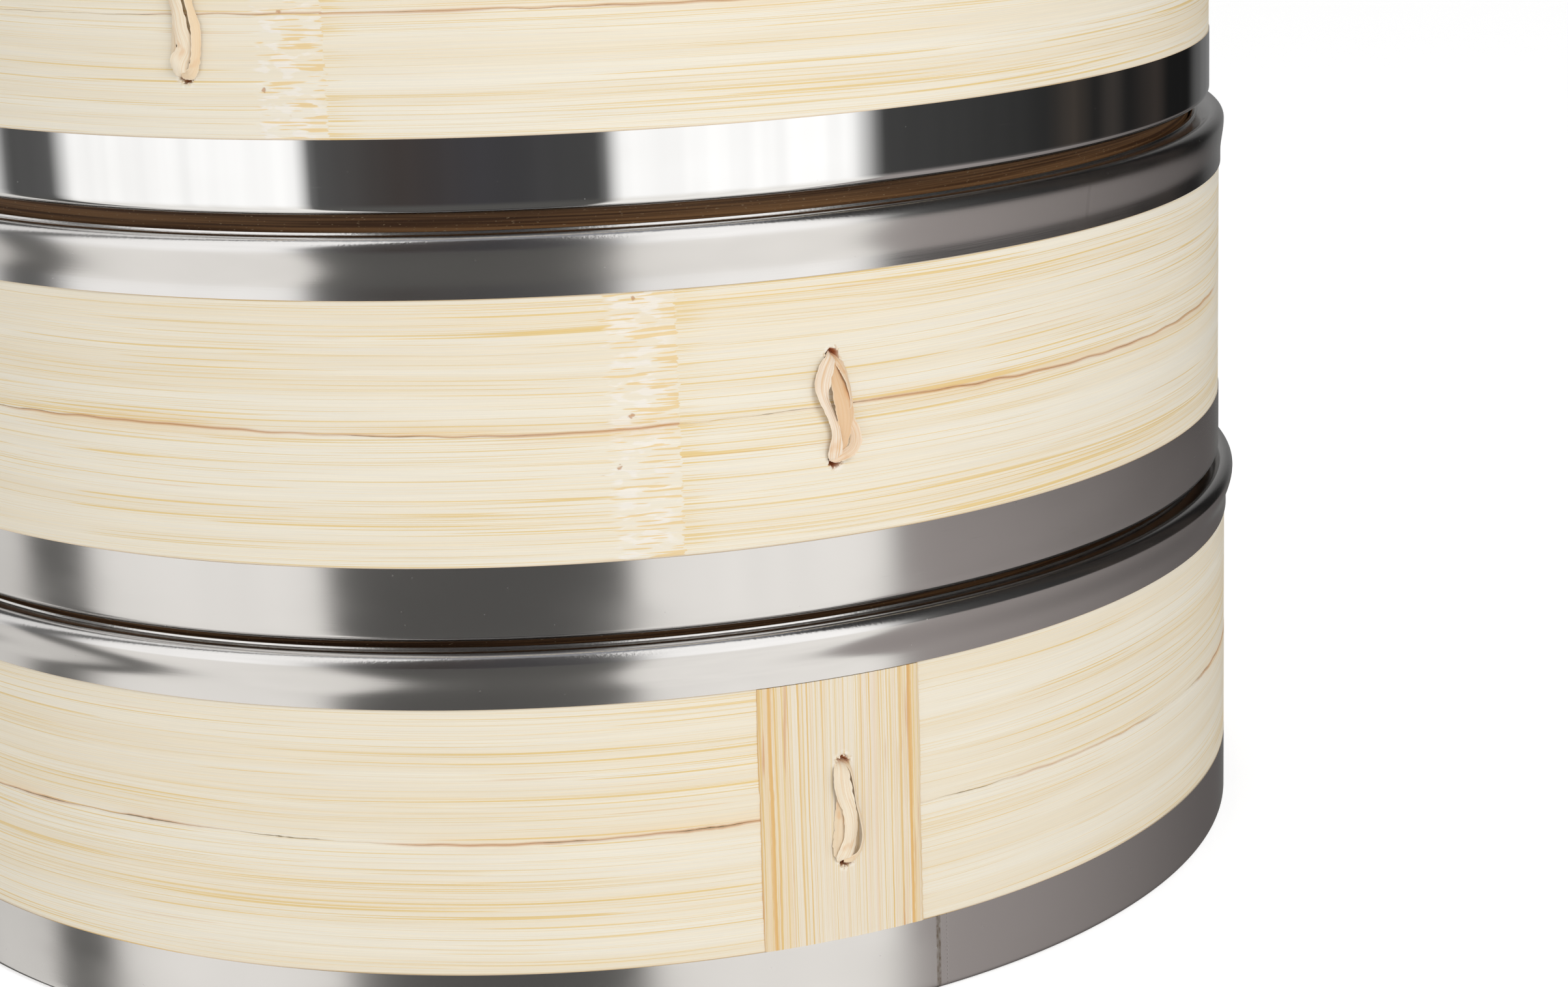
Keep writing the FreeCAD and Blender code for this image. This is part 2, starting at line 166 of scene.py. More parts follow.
class Skin:
    """One piece's points, faces and shading coordinates, gathered before its mesh is made.

    All distances are millimetres.  grain is (along the fibre, across it, which stick) and edges is
    (to steel or to the stick's side, to the seam, to a hole).  marks depends on the material:
    on bamboo (place of the first node, spacing of the nodes, 1 on the dark skin side, whose dark brown
    is also painted shade for the gap between tiers), on steel (how strongly the weld shows, distance
    from it, unused), and on raffia (how golden, unused, unused).
    """

    def __init__(self):
        self.points = []
        self.faces = []
        self.layers = {"grain": [], "edges": [], "marks": []}
        self.count = 0

    def add(self, points, faces, grain, edges=(FAR, FAR, FAR), marks=(0.0, 0.0, 0.0)):
        flat = points.reshape(-1, 3)
        self.points.append(flat)
        self.faces.append(outward(flat - flat.mean(0), faces) + self.count)
        for name, value in (("grain", grain), ("edges", edges), ("marks", marks)):
            full = np.stack(np.broadcast_arrays(*(np.asarray(v, float) for v in value)), -1)
            self.layers[name].append(np.broadcast_to(full, points.shape).reshape(-1, 3))
        self.count += len(flat)

    def piece(self, name, body, material, stands_for=(), sharp=38.0):
        mesh = bpy.data.meshes.new(name)
        points = np.concatenate(self.points) * MM
        mesh.from_pydata(points.tolist(), [], np.concatenate(self.faces).tolist())
        for layer, parts in self.layers.items():
            values = np.concatenate(parts).astype(np.float32)
            mesh.attributes.new(layer, "FLOAT_VECTOR", "POINT").data.foreach_set("vector", values.ravel())
        mesh.shade_smooth()
        mesh.set_sharp_from_angle(angle=math.radians(sharp))
        mesh.materials.append(material)
        made = bpy.data.objects.new(name, mesh)
        bpy.context.scene.collection.objects.link(made)
        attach(made, body)
        if stands_for:
            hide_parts(*stands_for)
        return made


def slab(front, back):
    """Points and faces of the closed skin between two grids of the same size."""
    rows, cols = front.shape[:2]
    count = rows * cols
    index = np.arange(count).reshape(rows, cols)
    ring = np.concatenate([index[0, :-1], index[:-1, -1], index[-1, :0:-1], index[:0:-1, 0]])
    after = np.roll(ring, -1)
    sides = np.stack([ring, ring + count, after + count, after], -1)
    face = grid_faces(rows, cols)
    faces = np.concatenate([face, face[:, ::-1] + count, sides])
    return np.concatenate([front.reshape(-1, 3), back.reshape(-1, 3)]), faces


def twice(values):
    """The values of one grid, for the front and then the back of a slab."""
    return np.concatenate([values.reshape(-1), values.reshape(-1)])


def spaced(low, high, step, fine_places=(), fine_step=0.22):
    """Places from low to high, closer together at the ends and near each fine place."""
    fine_reach = 2.6
    ends = (0.12, 0.4)
    count = max(2, int(round((high - low) / step)) + 1)
    coarse = [x for x in np.linspace(low, high, count)
              if all(abs(x - f) > fine_reach + 0.4 * step for f in fine_places)]
    near = [x for f in fine_places for x in np.arange(f - fine_reach, f + fine_reach, fine_step)
            if low + ends[-1] < x < high - ends[-1]]
    borders = [low + e for e in ends] + [high - e for e in ends]
    inner = [x for x in coarse + near if low + 1.6 * ends[-1] < x < high - 1.6 * ends[-1]]
    return np.array(sorted([low, high] + borders + inner))


def ring_angles(start, fine_places):
    """Angles of a ring's columns, counted up from start and closer together near the stitches."""
    step = 0.4
    fine_step = 0.1
    fine_reach = 1.7
    gaps = [(f - start) % 360.0 for f in fine_places]
    coarse = [a for a in np.arange(0.0, 360.0, step)
              if all(abs((a - g + 180.0) % 360.0 - 180.0) > fine_reach + 0.3 * step for g in gaps)]
    near = [(a % 360.0) for g in gaps for a in np.arange(g - fine_reach, g + fine_reach, fine_step)]
    return start + np.array(sorted(coarse + near))


def run(a, b, count):
    """Points from a to b, closer together near both ends."""
    t = 0.5 - 0.5 * np.cos(np.linspace(0.0, np.pi, count))
    return [(a[0] + (b[0] - a[0]) * k, a[1] + (b[1] - a[1]) * k) for k in t]


def arc(centre, radius, first, last, count):
    turn = np.radians(np.linspace(first, last, count))
    return [(centre[0] + radius * math.cos(t), centre[1] + radius * math.sin(t)) for t in turn]


def joined(*runs):
    """One outline from runs that share their end points."""
    line = list(runs[0])
    for points in runs[1:]:
        line += list(points)[1:]
    return np.array(line)


def thickened(line, thickness):
    """Closed outline of a sheet: the line, and the same line offset to its left."""
    ahead = np.gradient(line, axis=0)
    ahead /= np.linalg.norm(ahead, axis=1)[:, None]
    left = np.stack([-ahead[:, 1], ahead[:, 0]], -1)
    return np.concatenate([line, (line + left * thickness)[::-1]])


def storey(name, body):
    """The places of one tier or of the lid, read from the CAD model."""
    band_low, band_high = box_mm(name + "_base_band")
    bottom_high = box_mm(name + "_wall_bottom_strip")[1]
    top_low, top_high = box_mm(name + "_wall_top_strip")
    hoop_low, hoop_high = box_mm(name + "_inner_hoop")
    has_rim = name != "lid"
    rim_foot = box_mm(name + "_rim_band")[0][2] if has_rim else top_high[2]
    seam = (bottom_high[2] + top_low[2]) / 2.0
    stitch_angles = [STITCH_ANGLE[name] + STITCH_SPACING * k for k in range(3)]
    return SimpleNamespace(
        name=name, body=body, has_rim=has_rim, radius=bottom_high[0], inside=hoop_high[0] + GLUE_GAP,
        base=band_low[2], band_top=band_high[2], band_outer=band_high[0],
        seam=seam, rim_foot=rim_foot, top=top_high[2],
        hoop_low=hoop_low[2], hoop_high=hoop_high[2],
        holes=[seam + up for up in HOLES[name]],
        strip_angle=STRIP_ANGLE[name], stitch_angles=stitch_angles)


# ---------------------------------------------------------------- node helpers

def srgb(r, g, b):
    """A display colour, 0 to 255, as a linear one."""
    def linear(c):
        c = c / 255.0
        return c / 12.92 if c <= 0.04045 else ((c + 0.055) / 1.055) ** 2.4
    return (linear(r), linear(g), linear(b), 1.0)


class Nodes:
    """Short calls for building a node tree."""

    def __init__(self, tree):
        self.tree = tree
        tree.nodes.clear()

    def new(self, kind, **settings):
        node = self.tree.nodes.new(kind)
        for key, value in settings.items():
            setattr(node, key, value)
        return node

    def feed(self, socket, value):
        if isinstance(value, bpy.types.NodeSocket):
            self.tree.links.new(value, socket)
        elif value is not None:
            socket.default_value = value

    def math(self, operation, a, b=None, c=None):
        node = self.new("ShaderNodeMath", operation=operation)
        for socket, value in zip(node.inputs, (a, b, c)):
            self.feed(socket, value)
        return node.outputs[0]

    def add(self, a, b):
        return self.math("ADD", a, b)

    def times(self, a, b):
        return self.math("MULTIPLY", a, b)

    def step(self, x, low, high, out_low=0.0, out_high=1.0):
        """S-curve from out_low at low to out_high at high."""
        node = self.new("ShaderNodeMapRange", interpolation_type="SMOOTHSTEP", clamp=True)
        for socket, value in zip(node.inputs, (x, low, high, out_low, out_high)):
            self.feed(socket, value)
        return node.outputs[0]

    def vector(self, x, y, z):
        node = self.new("ShaderNodeCombineXYZ")
        for socket, value in zip(node.inputs, (x, y, z)):
            self.feed(socket, value)
        return node.outputs[0]

    def split(self, vector):
        node = self.new("ShaderNodeSeparateXYZ")
        self.feed(node.inputs[0], vector)
        return node.outputs

    def attribute(self, name):
        return self.split(self.new("ShaderNodeAttribute", attribute_name=name).outputs["Vector"])

    def noise(self, vector, detail, scale=1.0):
        node = self.new("ShaderNodeTexNoise", noise_dimensions="3D")
        self.feed(node.inputs["Vector"], vector)
        node.inputs["Scale"].default_value = scale
        node.inputs["Detail"].default_value = detail
        return node.outputs["Fac"]

    def fibre_noise(self, u, v, w, along, across, shift, detail=1.0):
        """Noise drawn out along the fibre.  along and across are in cells per millimetre."""
        place = self.vector(self.times(u, along), self.times(v, across), self.add(w, shift))
        return self.noise(place, detail=detail)

    def mix(self, fac, a, b, blend="MIX"):
        node = self.new("ShaderNodeMix", data_type="RGBA", blend_type=blend)
        self.feed(node.inputs["Factor"], fac)
        self.feed(node.inputs["A"], a)
        self.feed(node.inputs["B"], b)
        return node.outputs["Result"]


def shader(name):
    """A new material with its node helper and its Principled shader, wired to the output."""
    made = bpy.data.materials.new(name)
    made.use_nodes = True
    nodes = Nodes(made.node_tree)
    out = nodes.new("ShaderNodeOutputMaterial")
    principled = nodes.new("ShaderNodeBsdfPrincipled")
    nodes.tree.links.new(principled.outputs[0], out.inputs["Surface"])
    return made, nodes, principled


def bump(nodes, principled, height, distance_mm, strength):
    node = nodes.new("ShaderNodeBump")
    node.inputs["Strength"].default_value = strength
    node.inputs["Distance"].default_value = distance_mm * MM
    nodes.feed(node.inputs["Height"], height)
    nodes.feed(principled.inputs["Normal"], node.outputs["Normal"])


# ---------------------------------------------------------------- materials

CREAM = srgb(245, 237, 219)
PALE = srgb(250, 244, 233)
WARM = srgb(242, 230, 206)
YELLOW = srgb(237, 207, 142)
AMBER = srgb(226, 182, 120)


def node_band(n, u, v, w, place, spacing):
    """Where the bamboo's nodes are: a band with ragged sides, and the fibres' tails beside it.
    The last value numbers the stretches between nodes, whose fibres differ."""
    half = n.times(spacing, 0.5)
    from_first = n.math("SUBTRACT", u, place)
    along = n.math("WRAP", from_first, half, n.times(half, -1.0))
    by_fibre = n.add(n.noise(n.vector(0.0, n.times(v, 1.6), n.add(w, 11.0)), detail=2.0), -0.5)
    right = n.add(along, n.times(by_fibre, 2.6))
    left = n.add(along, n.times(by_fibre, 9.0))
    shows = n.math("GREATER_THAN", spacing, 1.0)
    band = n.times(n.times(n.step(left, -5.6, -4.4), n.step(right, 5.4, 5.15)), shows)
    right_tails = n.times(n.step(right, 12.0, 5.3), n.times(n.math("GREATER_THAN", right, 5.27), shows))
    left_tails = n.times(n.step(left, -16.0, -6.0), n.times(n.step(left, -4.4, -5.4), shows))
    jittered = n.add(from_first, n.add(n.times(by_fibre, 2.6), -5.27))
    stretch = n.math("FLOOR", n.math("DIVIDE", jittered, n.math("MAXIMUM", spacing, 1.0)))
    return along, band, right_tails, left_tails, n.times(stretch, shows)


def holed(n, colour, u, v, w, hole, torn, inside):
    """The colour with torn pale fibres at the rim of a stitch hole, and a brown inside that is painted shade
    in the hole.
    """
    ragged = n.step(n.fibre_noise(u, v, w, 1.2, 1.2, 103.0), 0.42, 0.58)
    frayed = n.times(n.step(hole, 0.9, 0.1), ragged)
    colour = n.mix(n.times(frayed, 0.7), colour, torn)
    # Inside the hole: a warm brown that stands for the shade in the hole, painted.
    return n.mix(n.step(hole, 0.05, -0.35), colour, inside)


def with_node_marks(n, colour, u, v, w, along, band):
    """The colour with a node's whitish patches, short thick dashes and small pits, and where the
    patches and the pits are."""
    patch = n.step(n.fibre_noise(u, v, w, 0.30, 0.85, 91.0, 2.0), 0.49, 0.58)
    patch = n.times(n.times(patch, n.step(along, 5.2, 2.6, 0.15, 1.0)), band)
    colour = n.mix(n.times(patch, 0.60), colour, srgb(250, 244, 236))
    right_half = n.step(along, -3.0, 2.5, -0.02, 0.07)
    dashes = n.add(n.fibre_noise(u, v, w, 0.17, 2.9, 83.0, 0.0), right_half)
    colour = n.mix(n.times(n.times(n.step(dashes, 0.62, 0.67), band), 0.78), colour, srgb(240, 208, 146))
    cells = n.new("ShaderNodeTexVoronoi", voronoi_dimensions="3D", feature="F1")
    wavy = n.times(n.add(n.fibre_noise(u, v, w, 1.6, 1.6, 95.0), -0.5), 0.35)
    n.feed(cells.inputs["Vector"], n.vector(n.add(n.times(u, 0.33), wavy), n.add(n.times(v, 0.36), wavy), w))
    cells.inputs["Scale"].default_value = 1.0
    pick = n.new("ShaderNodeSeparateColor")
    n.feed(pick.inputs[0], cells.outputs["Color"])
    chosen = n.times(n.math("GREATER_THAN", pick.outputs[0], 0.42), n.step(along, 3.4, 2.4))
    pit = n.times(n.times(n.step(cells.outputs["Distance"], 0.17, 0.07), band), chosen)
    colour = n.mix(n.times(pit, 0.75), colour, srgb(198, 146, 104))
    return colour, patch, pit


def with_seam(n, colour, u, w, seam):
    """The colour with a golden stain and a broken brown line along the seam."""
    stretch = n.fibre_noise(u, 0.0, w, 0.022, 0.0, 101.0)
    near_seam = n.times(n.step(seam, 0.42, 0.04), n.step(stretch, 0.44, 0.58, 0.04, 1.0))
    stain = n.times(n.step(seam, 2.6, 0.1), n.step(stretch, 0.48, 0.68))
    colour = n.mix(n.times(stain, 0.40), colour, srgb(238, 202, 142))
    colour = n.mix(n.times(near_seam, 0.66), colour, srgb(206, 150, 98))
    return colour


def skin_and_gap_shade_tone(n, u, v, w):
    """The dark skin side of the hoops, with lighter and darker streaks.  Its dark brown is partly the bamboo
    skin's own colour and partly painted shade for where it shows in the gap between tiers.
    """
    streak = n.fibre_noise(u, v, w, 0.02, 2.2, 111.0, 2.0)
    flecks = n.step(n.fibre_noise(u, v, w, 1.3, 4.0, 121.0), 0.67, 0.75)
    tone = n.mix(n.step(streak, 0.35, 0.66), srgb(84, 58, 38), srgb(142, 108, 76))
    return n.mix(n.times(flecks, 0.6), tone, srgb(190, 168, 140))


def shaded(n, colour, fine, shade, stick_tone):
    """The colour times shade, a little uneven with the fine grain and from stick to stick."""
    stick = n.new("ShaderNodeTexWhiteNoise", noise_dimensions="1D")
    n.feed(stick.inputs["W"], n.math("FLOOR", n.attribute("grain")[2]))
    by_stick = n.step(stick.outputs["Value"], 0.0, 1.0, 1.0 - stick_tone, 1.0)
    grainy = n.times(n.step(fine, 0.25, 0.75, 0.95, 1.035), by_stick)
    shades = n.new("ShaderNodeCombineColor")
    for socket, share in zip(shades.inputs, shade):
        n.feed(socket, n.times(grainy, share))
    return n.mix(1.0, colour, shades.outputs[0], "MULTIPLY")


def bamboo(name, lines=1.0, shade=(1.0, 1.0, 1.0), rough=0.5, stick_tone=0.0):
    """Split bamboo.  lines scales how many golden fibres show, shade darkens it, and stick_tone is
    how much one stick differs from the next."""
    made, n, principled = shader(name)
    u, v, w = n.attribute("grain")
    side, seam, hole = n.attribute("edges")
    node_place, node_spacing, skin = n.attribute("marks")
    drift = n.fibre_noise(u, v, w, 0.010, 0.05, 3.0)
    v = n.add(v, n.times(n.add(drift, -0.5), 2.4))
    along, band, right_tails, left_tails, stretch_number = node_band(n, u, v, w, node_place, node_spacing)
    open_face = n.math("SUBTRACT", 1.0, band)

    # Broad tones, then the golden fibre bundles in three sizes, denser in some zones.
    zones = n.fibre_noise(u, v, w, 0.005, 0.10, 23.0)
    push = n.times(n.add(zones, -0.52), 0.26 * lines)
    push = n.add(push, n.add(n.times(right_tails, 0.06), n.times(left_tails, -0.01)))
    push = n.add(push, 0.02 * (lines - 1.0))
    broad = n.fibre_noise(u, v, w, 0.0035, 0.30, 17.0, 2.0)
    dark_skin_and_gap_shade = skin_and_gap_shade_tone(n, u, v, w)
    w = n.add(w, n.times(stretch_number, 7.3))
    strong = n.add(n.fibre_noise(u, v, w, 0.016, 3.0, 43.0, 0.0), push)
    medium = n.add(n.fibre_noise(u, v, w, 0.012, 4.4, 31.0), push)
    thin = n.add(n.fibre_noise(u, v, w, 0.009, 7.5, 57.0), push)
    fine = n.fibre_noise(u, v, w, 0.05, 9.0, 71.0, 2.0)
    colour = n.mix(n.step(broad, 0.35, 0.68), CREAM, WARM)
    colour = n.mix(n.step(zones, 0.50, 0.72, 0.0, 0.35), colour, srgb(244, 229, 202))
    colour = n.mix(n.step(fine, 0.44, 0.30, 0.0, 0.5), colour, PALE)
    thin_line = n.times(n.step(thin, 0.60, 0.66), open_face)
    medium_line = n.times(n.step(medium, 0.625, 0.675), open_face)
    strong_line = n.times(n.step(strong, 0.705, 0.745), open_face)
    colour = n.mix(n.times(thin_line, 0.42), colour, YELLOW)
    colour = n.mix(n.times(medium_line, 0.74), colour, YELLOW)
    colour = n.mix(n.times(strong_line, 0.88), colour, YELLOW)
    rusty = n.step(n.fibre_noise(u, v, w, 0.03, 2.4, 63.0, 0.0), 0.80, 0.86)
    colour = n.mix(n.times(n.times(rusty, open_face), 0.35), colour, AMBER)

    colour, patch, pit = with_node_marks(n, colour, u, v, w, along, band)
    colour = with_seam(n, colour, u, w, seam)
    # Darker golden within a third of a millimetre of the steel and of a stick's side: partly a golden stain,
    # partly painted shade where the parts meet.
    colour = n.mix(n.step(side, 0.35, 0.0, 0.0, 0.45), colour, srgb(218, 178, 122))
    # Torn pale fibres round each stitch hole; the brown inside it is painted shade.
    colour = holed(n, colour, u, v, w, hole, srgb(252, 246, 234), srgb(196, 128, 88))

    # Outer face of the lip hoops: the dark skin colour, which is also painted shade for the gap between
    # tiers.
    colour = n.mix(skin, colour, dark_skin_and_gap_shade)
    colour = shaded(n, colour, fine, shade, stick_tone)
    n.feed(principled.inputs["Base Color"], colour)
    principled.inputs["Specular IOR Level"].default_value = 0.30
    n.feed(principled.inputs["Roughness"], n.step(fine, 0.3, 0.7, rough - 0.05, rough + 0.09))
    height = n.add(n.times(fine, 0.5), n.times(medium_line, -0.30))
    height = n.add(height, n.add(n.times(pit, -2.5), n.times(patch, 0.7)))
    bump(n, principled, height, 0.05, 0.6)
    return made


def upright_bamboo(name):
    """The joint strip: grain up the strip, with strong golden stripes near both sides."""
    made, n, principled = shader(name)
    u, v, w = n.attribute("grain")
    side, _, hole = n.attribute("edges")
    drift = n.fibre_noise(u, v, w, 0.02, 0.08, 3.0)
    tremble = n.fibre_noise(u, v, w, 0.35, 0.3, 7.0)
    v = n.add(v, n.add(n.times(n.add(drift, -0.5), 0.9), n.times(n.add(tremble, -0.5), 0.12)))
    near_side = n.step(side, 9.5, 1.5, 0.0, 0.15)
    broad = n.add(n.fibre_noise(u, v, w, 0.003, 0.75, 5.0), near_side)
    strong = n.add(n.fibre_noise(u, v, w, 0.006, 2.3, 13.0, 0.0), n.times(near_side, 0.6))
    medium = n.add(n.fibre_noise(u, v, w, 0.008, 3.6, 19.0), n.times(near_side, 0.4))
    thin = n.fibre_noise(u, v, w, 0.010, 6.0, 29.0)
    fine = n.fibre_noise(u, v, w, 0.05, 10.0, 47.0, 2.0)
    pink = n.step(n.fibre_noise(u, v, w, 0.005, 1.5, 53.0), 0.52, 0.66)
    blotch = n.step(n.fibre_noise(u, v, w, 0.055, 0.9, 61.0, 2.0), 0.56, 0.72)
    colour = n.mix(n.step(broad, 0.55, 0.72), srgb(239, 228, 209), srgb(237, 215, 180))
    colour = n.mix(n.times(pink, 0.40), colour, srgb(236, 212, 190))
    colour = n.mix(n.step(thin, 0.55, 0.63, 0.0, 0.50), colour, srgb(233, 207, 150))
    colour = n.mix(n.step(medium, 0.575, 0.63, 0.0, 0.72), colour, srgb(232, 203, 140))
    colour = n.mix(n.step(strong, 0.66, 0.72, 0.0, 0.80), colour, srgb(230, 192, 120))
    colour = n.mix(n.step(fine, 0.43, 0.28, 0.0, 0.7), colour, srgb(249, 240, 224))
    rusty = n.times(n.times(blotch, n.step(side, 8.5, 4.5)), n.step(strong, 0.54, 0.62))
    colour = n.mix(n.times(rusty, 0.75), colour, srgb(214, 160, 116))
    bark = n.times(n.step(n.math("ABSOLUTE", n.add(side, -1.9)), 0.45, 0.20), n.step(broad, 0.45, 0.60))
    colour = n.mix(n.times(bark, 0.65), colour, srgb(228, 178, 106))
    colour = n.mix(n.step(side, 0.40, 0.05, 0.0, 0.45), colour, srgb(224, 184, 130))
    # Torn pale fibres round each stitch hole; the brown inside it is painted shade.
    colour = holed(n, colour, u, v, w, hole, srgb(252, 244, 230), srgb(196, 130, 90))
    n.feed(principled.inputs["Base Color"], colour)
    principled.inputs["Specular IOR Level"].default_value = 0.30
    n.feed(principled.inputs["Roughness"], n.step(fine, 0.3, 0.7, 0.46, 0.60))
    bump(n, principled, n.add(n.times(fine, 0.6), n.times(broad, 0.8)), 0.06, 0.6)
    return made


def raffia(name, base, deep):
    """Raffia ribbon: fine fibres along it, with darker streaks and specks."""
    made, n, principled = shader(name)
    u, v, w = n.attribute("grain")
    side = n.attribute("edges")[0]
    fibres = n.fibre_noise(u, v, w, 0.08, 5.0, 5.0, 2.0)
    thread = n.fibre_noise(u, v, w, 0.06, 9.0, 15.0)
    blotch = n.fibre_noise(u, v, w, 0.22, 0.5, 25.0, 2.0)
    colour = n.mix(n.attribute("marks")[0], base, deep)
    colour = n.mix(n.step(fibres, 0.44, 0.70, 0.0, 0.85), colour, deep)
    colour = n.mix(n.step(blotch, 0.56, 0.72, 0.0, 0.55), colour, srgb(232, 184, 132))
    colour = n.mix(n.step(thread, 0.64, 0.74, 0.0, 0.4), colour, srgb(214, 160, 110))
    colour = n.mix(n.step(side, 0.16, 0.0, 0.0, 0.6), colour, srgb(252, 238, 214))
    n.feed(principled.inputs["Base Color"], colour)
    principled.inputs["Specular IOR Level"].default_value = 0.4
    principled.inputs["Sheen Weight"].default_value = 0.15
    n.feed(principled.inputs["Roughness"], n.step(fibres, 0.3, 0.7, 0.42, 0.58))
    bump(n, principled, n.add(fibres, n.times(thread, 0.5)), 0.05, 0.7)
    return made


def steel(name, colour, rough, brush):
    """Sheet steel with a fine lengthwise brush, faint scratches and dust, and its weld seam."""
    made, n, principled = shader(name)
    u, v, w = n.attribute("grain")
    weld_shows, from_weld, _ = n.attribute("marks")
    lines = n.fibre_noise(u, v, w, 0.09, 6.0, 3.0, 2.0)
    cloud = n.fibre_noise(u, v, w, 0.025, 0.06, 13.0, 3.0)
    scratch_area = n.step(n.fibre_noise(u, v, w, 0.02, 0.08, 23.0), 0.52, 0.66)
    scratches = n.fibre_noise(n.add(u, n.times(v, 2.6)), v, w, 0.24, 6.0, 33.0, 0.0)
    scratch = n.times(n.step(scratches, 0.74, 0.80), scratch_area)
    dust = n.new("ShaderNodeTexVoronoi", voronoi_dimensions="3D", feature="F1")
    n.feed(dust.inputs["Vector"], n.vector(n.times(u, 0.32), n.times(v, 0.32), w))
    dust.inputs["Scale"].default_value = 1.0
    speck = n.step(dust.outputs["Distance"], 0.05, 0.02)

    # The weld is an uneven brownish line, with a row of fine dots to its right.
    uneven = n.times(n.add(n.fibre_noise(u, v, w, 0.0, 0.9, 41.0, 2.0), -0.5), 0.5)
    off_weld = n.math("ABSOLUTE", n.add(from_weld, n.times(uneven, 0.5)))
    weld = n.times(n.step(off_weld, 0.56, 0.26), weld_shows)
    dot_row = n.times(n.step(n.math("ABSOLUTE", n.add(from_weld, -1.7)), 0.14, 0.06), weld_shows)
    dots = n.times(dot_row, n.math("GREATER_THAN", n.math("SINE", n.times(v, 9.0)), 0.2))
    mottled = n.step(n.fibre_noise(u, v, w, 0.8, 0.8, 51.0, 2.0), 0.3, 0.7, 0.45, 1.0)
    tint = n.mix(n.times(weld, mottled), colour, srgb(124, 110, 95))
    tint = n.mix(n.times(dots, 0.35), tint, srgb(120, 110, 100))
    tint = n.mix(n.step(cloud, 0.35, 0.70, 0.0, 0.10), tint, srgb(190, 186, 180))
    n.feed(principled.inputs["Base Color"], tint)
    principled.inputs["Metallic"].default_value = 1.0
    level = n.step(cloud, 0.3, 0.7, rough * 0.85, rough * 1.2)
    level = n.add(level, n.add(n.times(scratch, 0.05), n.times(n.add(speck, weld), 0.16)))
    n.feed(principled.inputs["Roughness"], level)
    height = n.add(n.times(lines, brush), n.add(n.times(scratch, -0.12), n.times(dots, -0.8)))
    facing_up = n.split(n.new("ShaderNodeNewGeometry").outputs["Normal"])[2]
    on_bend = n.times(n.step(facing_up, 0.30, 0.50), n.step(facing_up, 0.95, 0.80))
    crinkles = n.fibre_noise(u, v, w, 1.6, 3.0, 71.0, 2.0)
    height = n.add(height, n.times(n.times(crinkles, on_bend), 2.6))
    bump(n, principled, height, 0.012, 0.5)
    return made


# ---------------------------------------------------------------- walls

def hole_dimples(s, points_radius, degrees, z, outward_side, seed, depth=1.9):
    """Pushes a face in at each stitch hole, with a ragged, slightly raised edge.

    Returns the new radii and each point's distance outside the nearest hole's edge."""
    sign = 1.0 if outward_side else -1.0
    radius = points_radius.copy()
    nearest = np.full(radius.shape, FAR)
    for k, angle in enumerate(s.stitch_angles):
        for side, hole_z in enumerate(s.holes):
            along = np.radians((degrees - angle + 180.0) % 360.0 - 180.0) * s.radius
            along, up = np.broadcast_arrays(along, z - hole_z)
            away = np.hypot(along, up * 0.92)
            turn = np.degrees(np.arctan2(up, along))
            edge = STITCH_HOLE * (1.0 + 0.10 * round_noise(seed + 7 * k + side, turn, 2, 9))
            inside = smooth(0.0, 0.55, edge - away)
            torn = 0.5 + 0.5 * round_noise(seed + k + 90, turn, 3, 14)
            lip = np.exp(-((away - edge - 0.25) / 0.35) ** 2) * torn
            radius = radius - sign * depth * inside + sign * 0.08 * lip * (away < STITCH_HOLE + 1.6)
            nearest = np.where(away < np.abs(nearest) + STITCH_HOLE, away - edge, nearest)
    return radius, nearest


def seam_line(s, degrees):
    """Height of the seam, and how far each strip's edge stands back from it."""
    turned = degrees - s.strip_angle
    drop = SEAM_DROP[s.name] * np.exp(-turned / SEAM_DROP_FADES)
    seed = {"lower": 11, "upper": 23, "lid": 37}[s.name]
    wander = 0.30 * round_noise(seed, degrees, 2, 9) + 0.07 * round_noise(seed + 1, degrees, 30, 120)
    centre = s.seam + drop + wander
    wide = smooth(-0.4, 1.2, round_noise(seed + 2, degrees, 4, 40))
    jag = 0.35 + 0.65 * np.abs(round_noise(seed + 3, degrees, 100, 420))
    return centre, 0.006 + SEAM_OPEN[s.name] * wide * jag


def strip_face_rows(s, low, high):
    return spaced(low, high, 1.2, [h for h in s.holes if low < h < high])


def bottom_outline(s):
    """Points round the lower strip's section, and which of them are on its outer face."""
    rebated = s.band_outer - SHEET - GLUE_GAP
    skirt = s.radius - SKIRT_THICKNESS
    skirt_top = s.base + SKIRT_DEPTH
    foot = s.base + WOOD_FOOT
    below = [(skirt, foot), (rebated - BAND_CURL, foot)]
    below += [(rebated, foot + BAND_CURL), (rebated, s.band_top - 0.05)]
    face = [(s.radius, z) for z in strip_face_rows(s, s.band_top, s.seam)]
    back = [(s.inside, s.seam), (s.inside, skirt_top)]
    if s.inside < skirt - 0.01:
        back += [(skirt, skirt_top)]
    on_face = np.repeat([False, True, False], [len(below), len(face), len(back)])
    return np.array(below + face + back), on_face


def top_outline(s):
    """Points round the upper strip's section, and which of them are on its outer face."""
    below = [(s.inside, s.seam)]
    face = [(s.radius, z) for z in strip_face_rows(s, s.seam, s.rim_foot)]
    if s.has_rim:
        rebate = s.radius - (SHEET - RIM_PROUD + GLUE_GAP)
        above = [(rebate, s.rim_foot + 0.05), (rebate, s.top)]
    else:
        face[-1] = (s.radius, s.top - 0.55)
        above = [(s.radius - 0.18, s.top - 0.18), (s.radius - 0.6, s.top)]
    above += [(s.inside + 0.4, s.top), (s.inside, s.top - 0.4)]
    on_face = np.repeat([False, True, False], [len(below), len(face), len(above)])
    return np.array(below + face + above), on_face


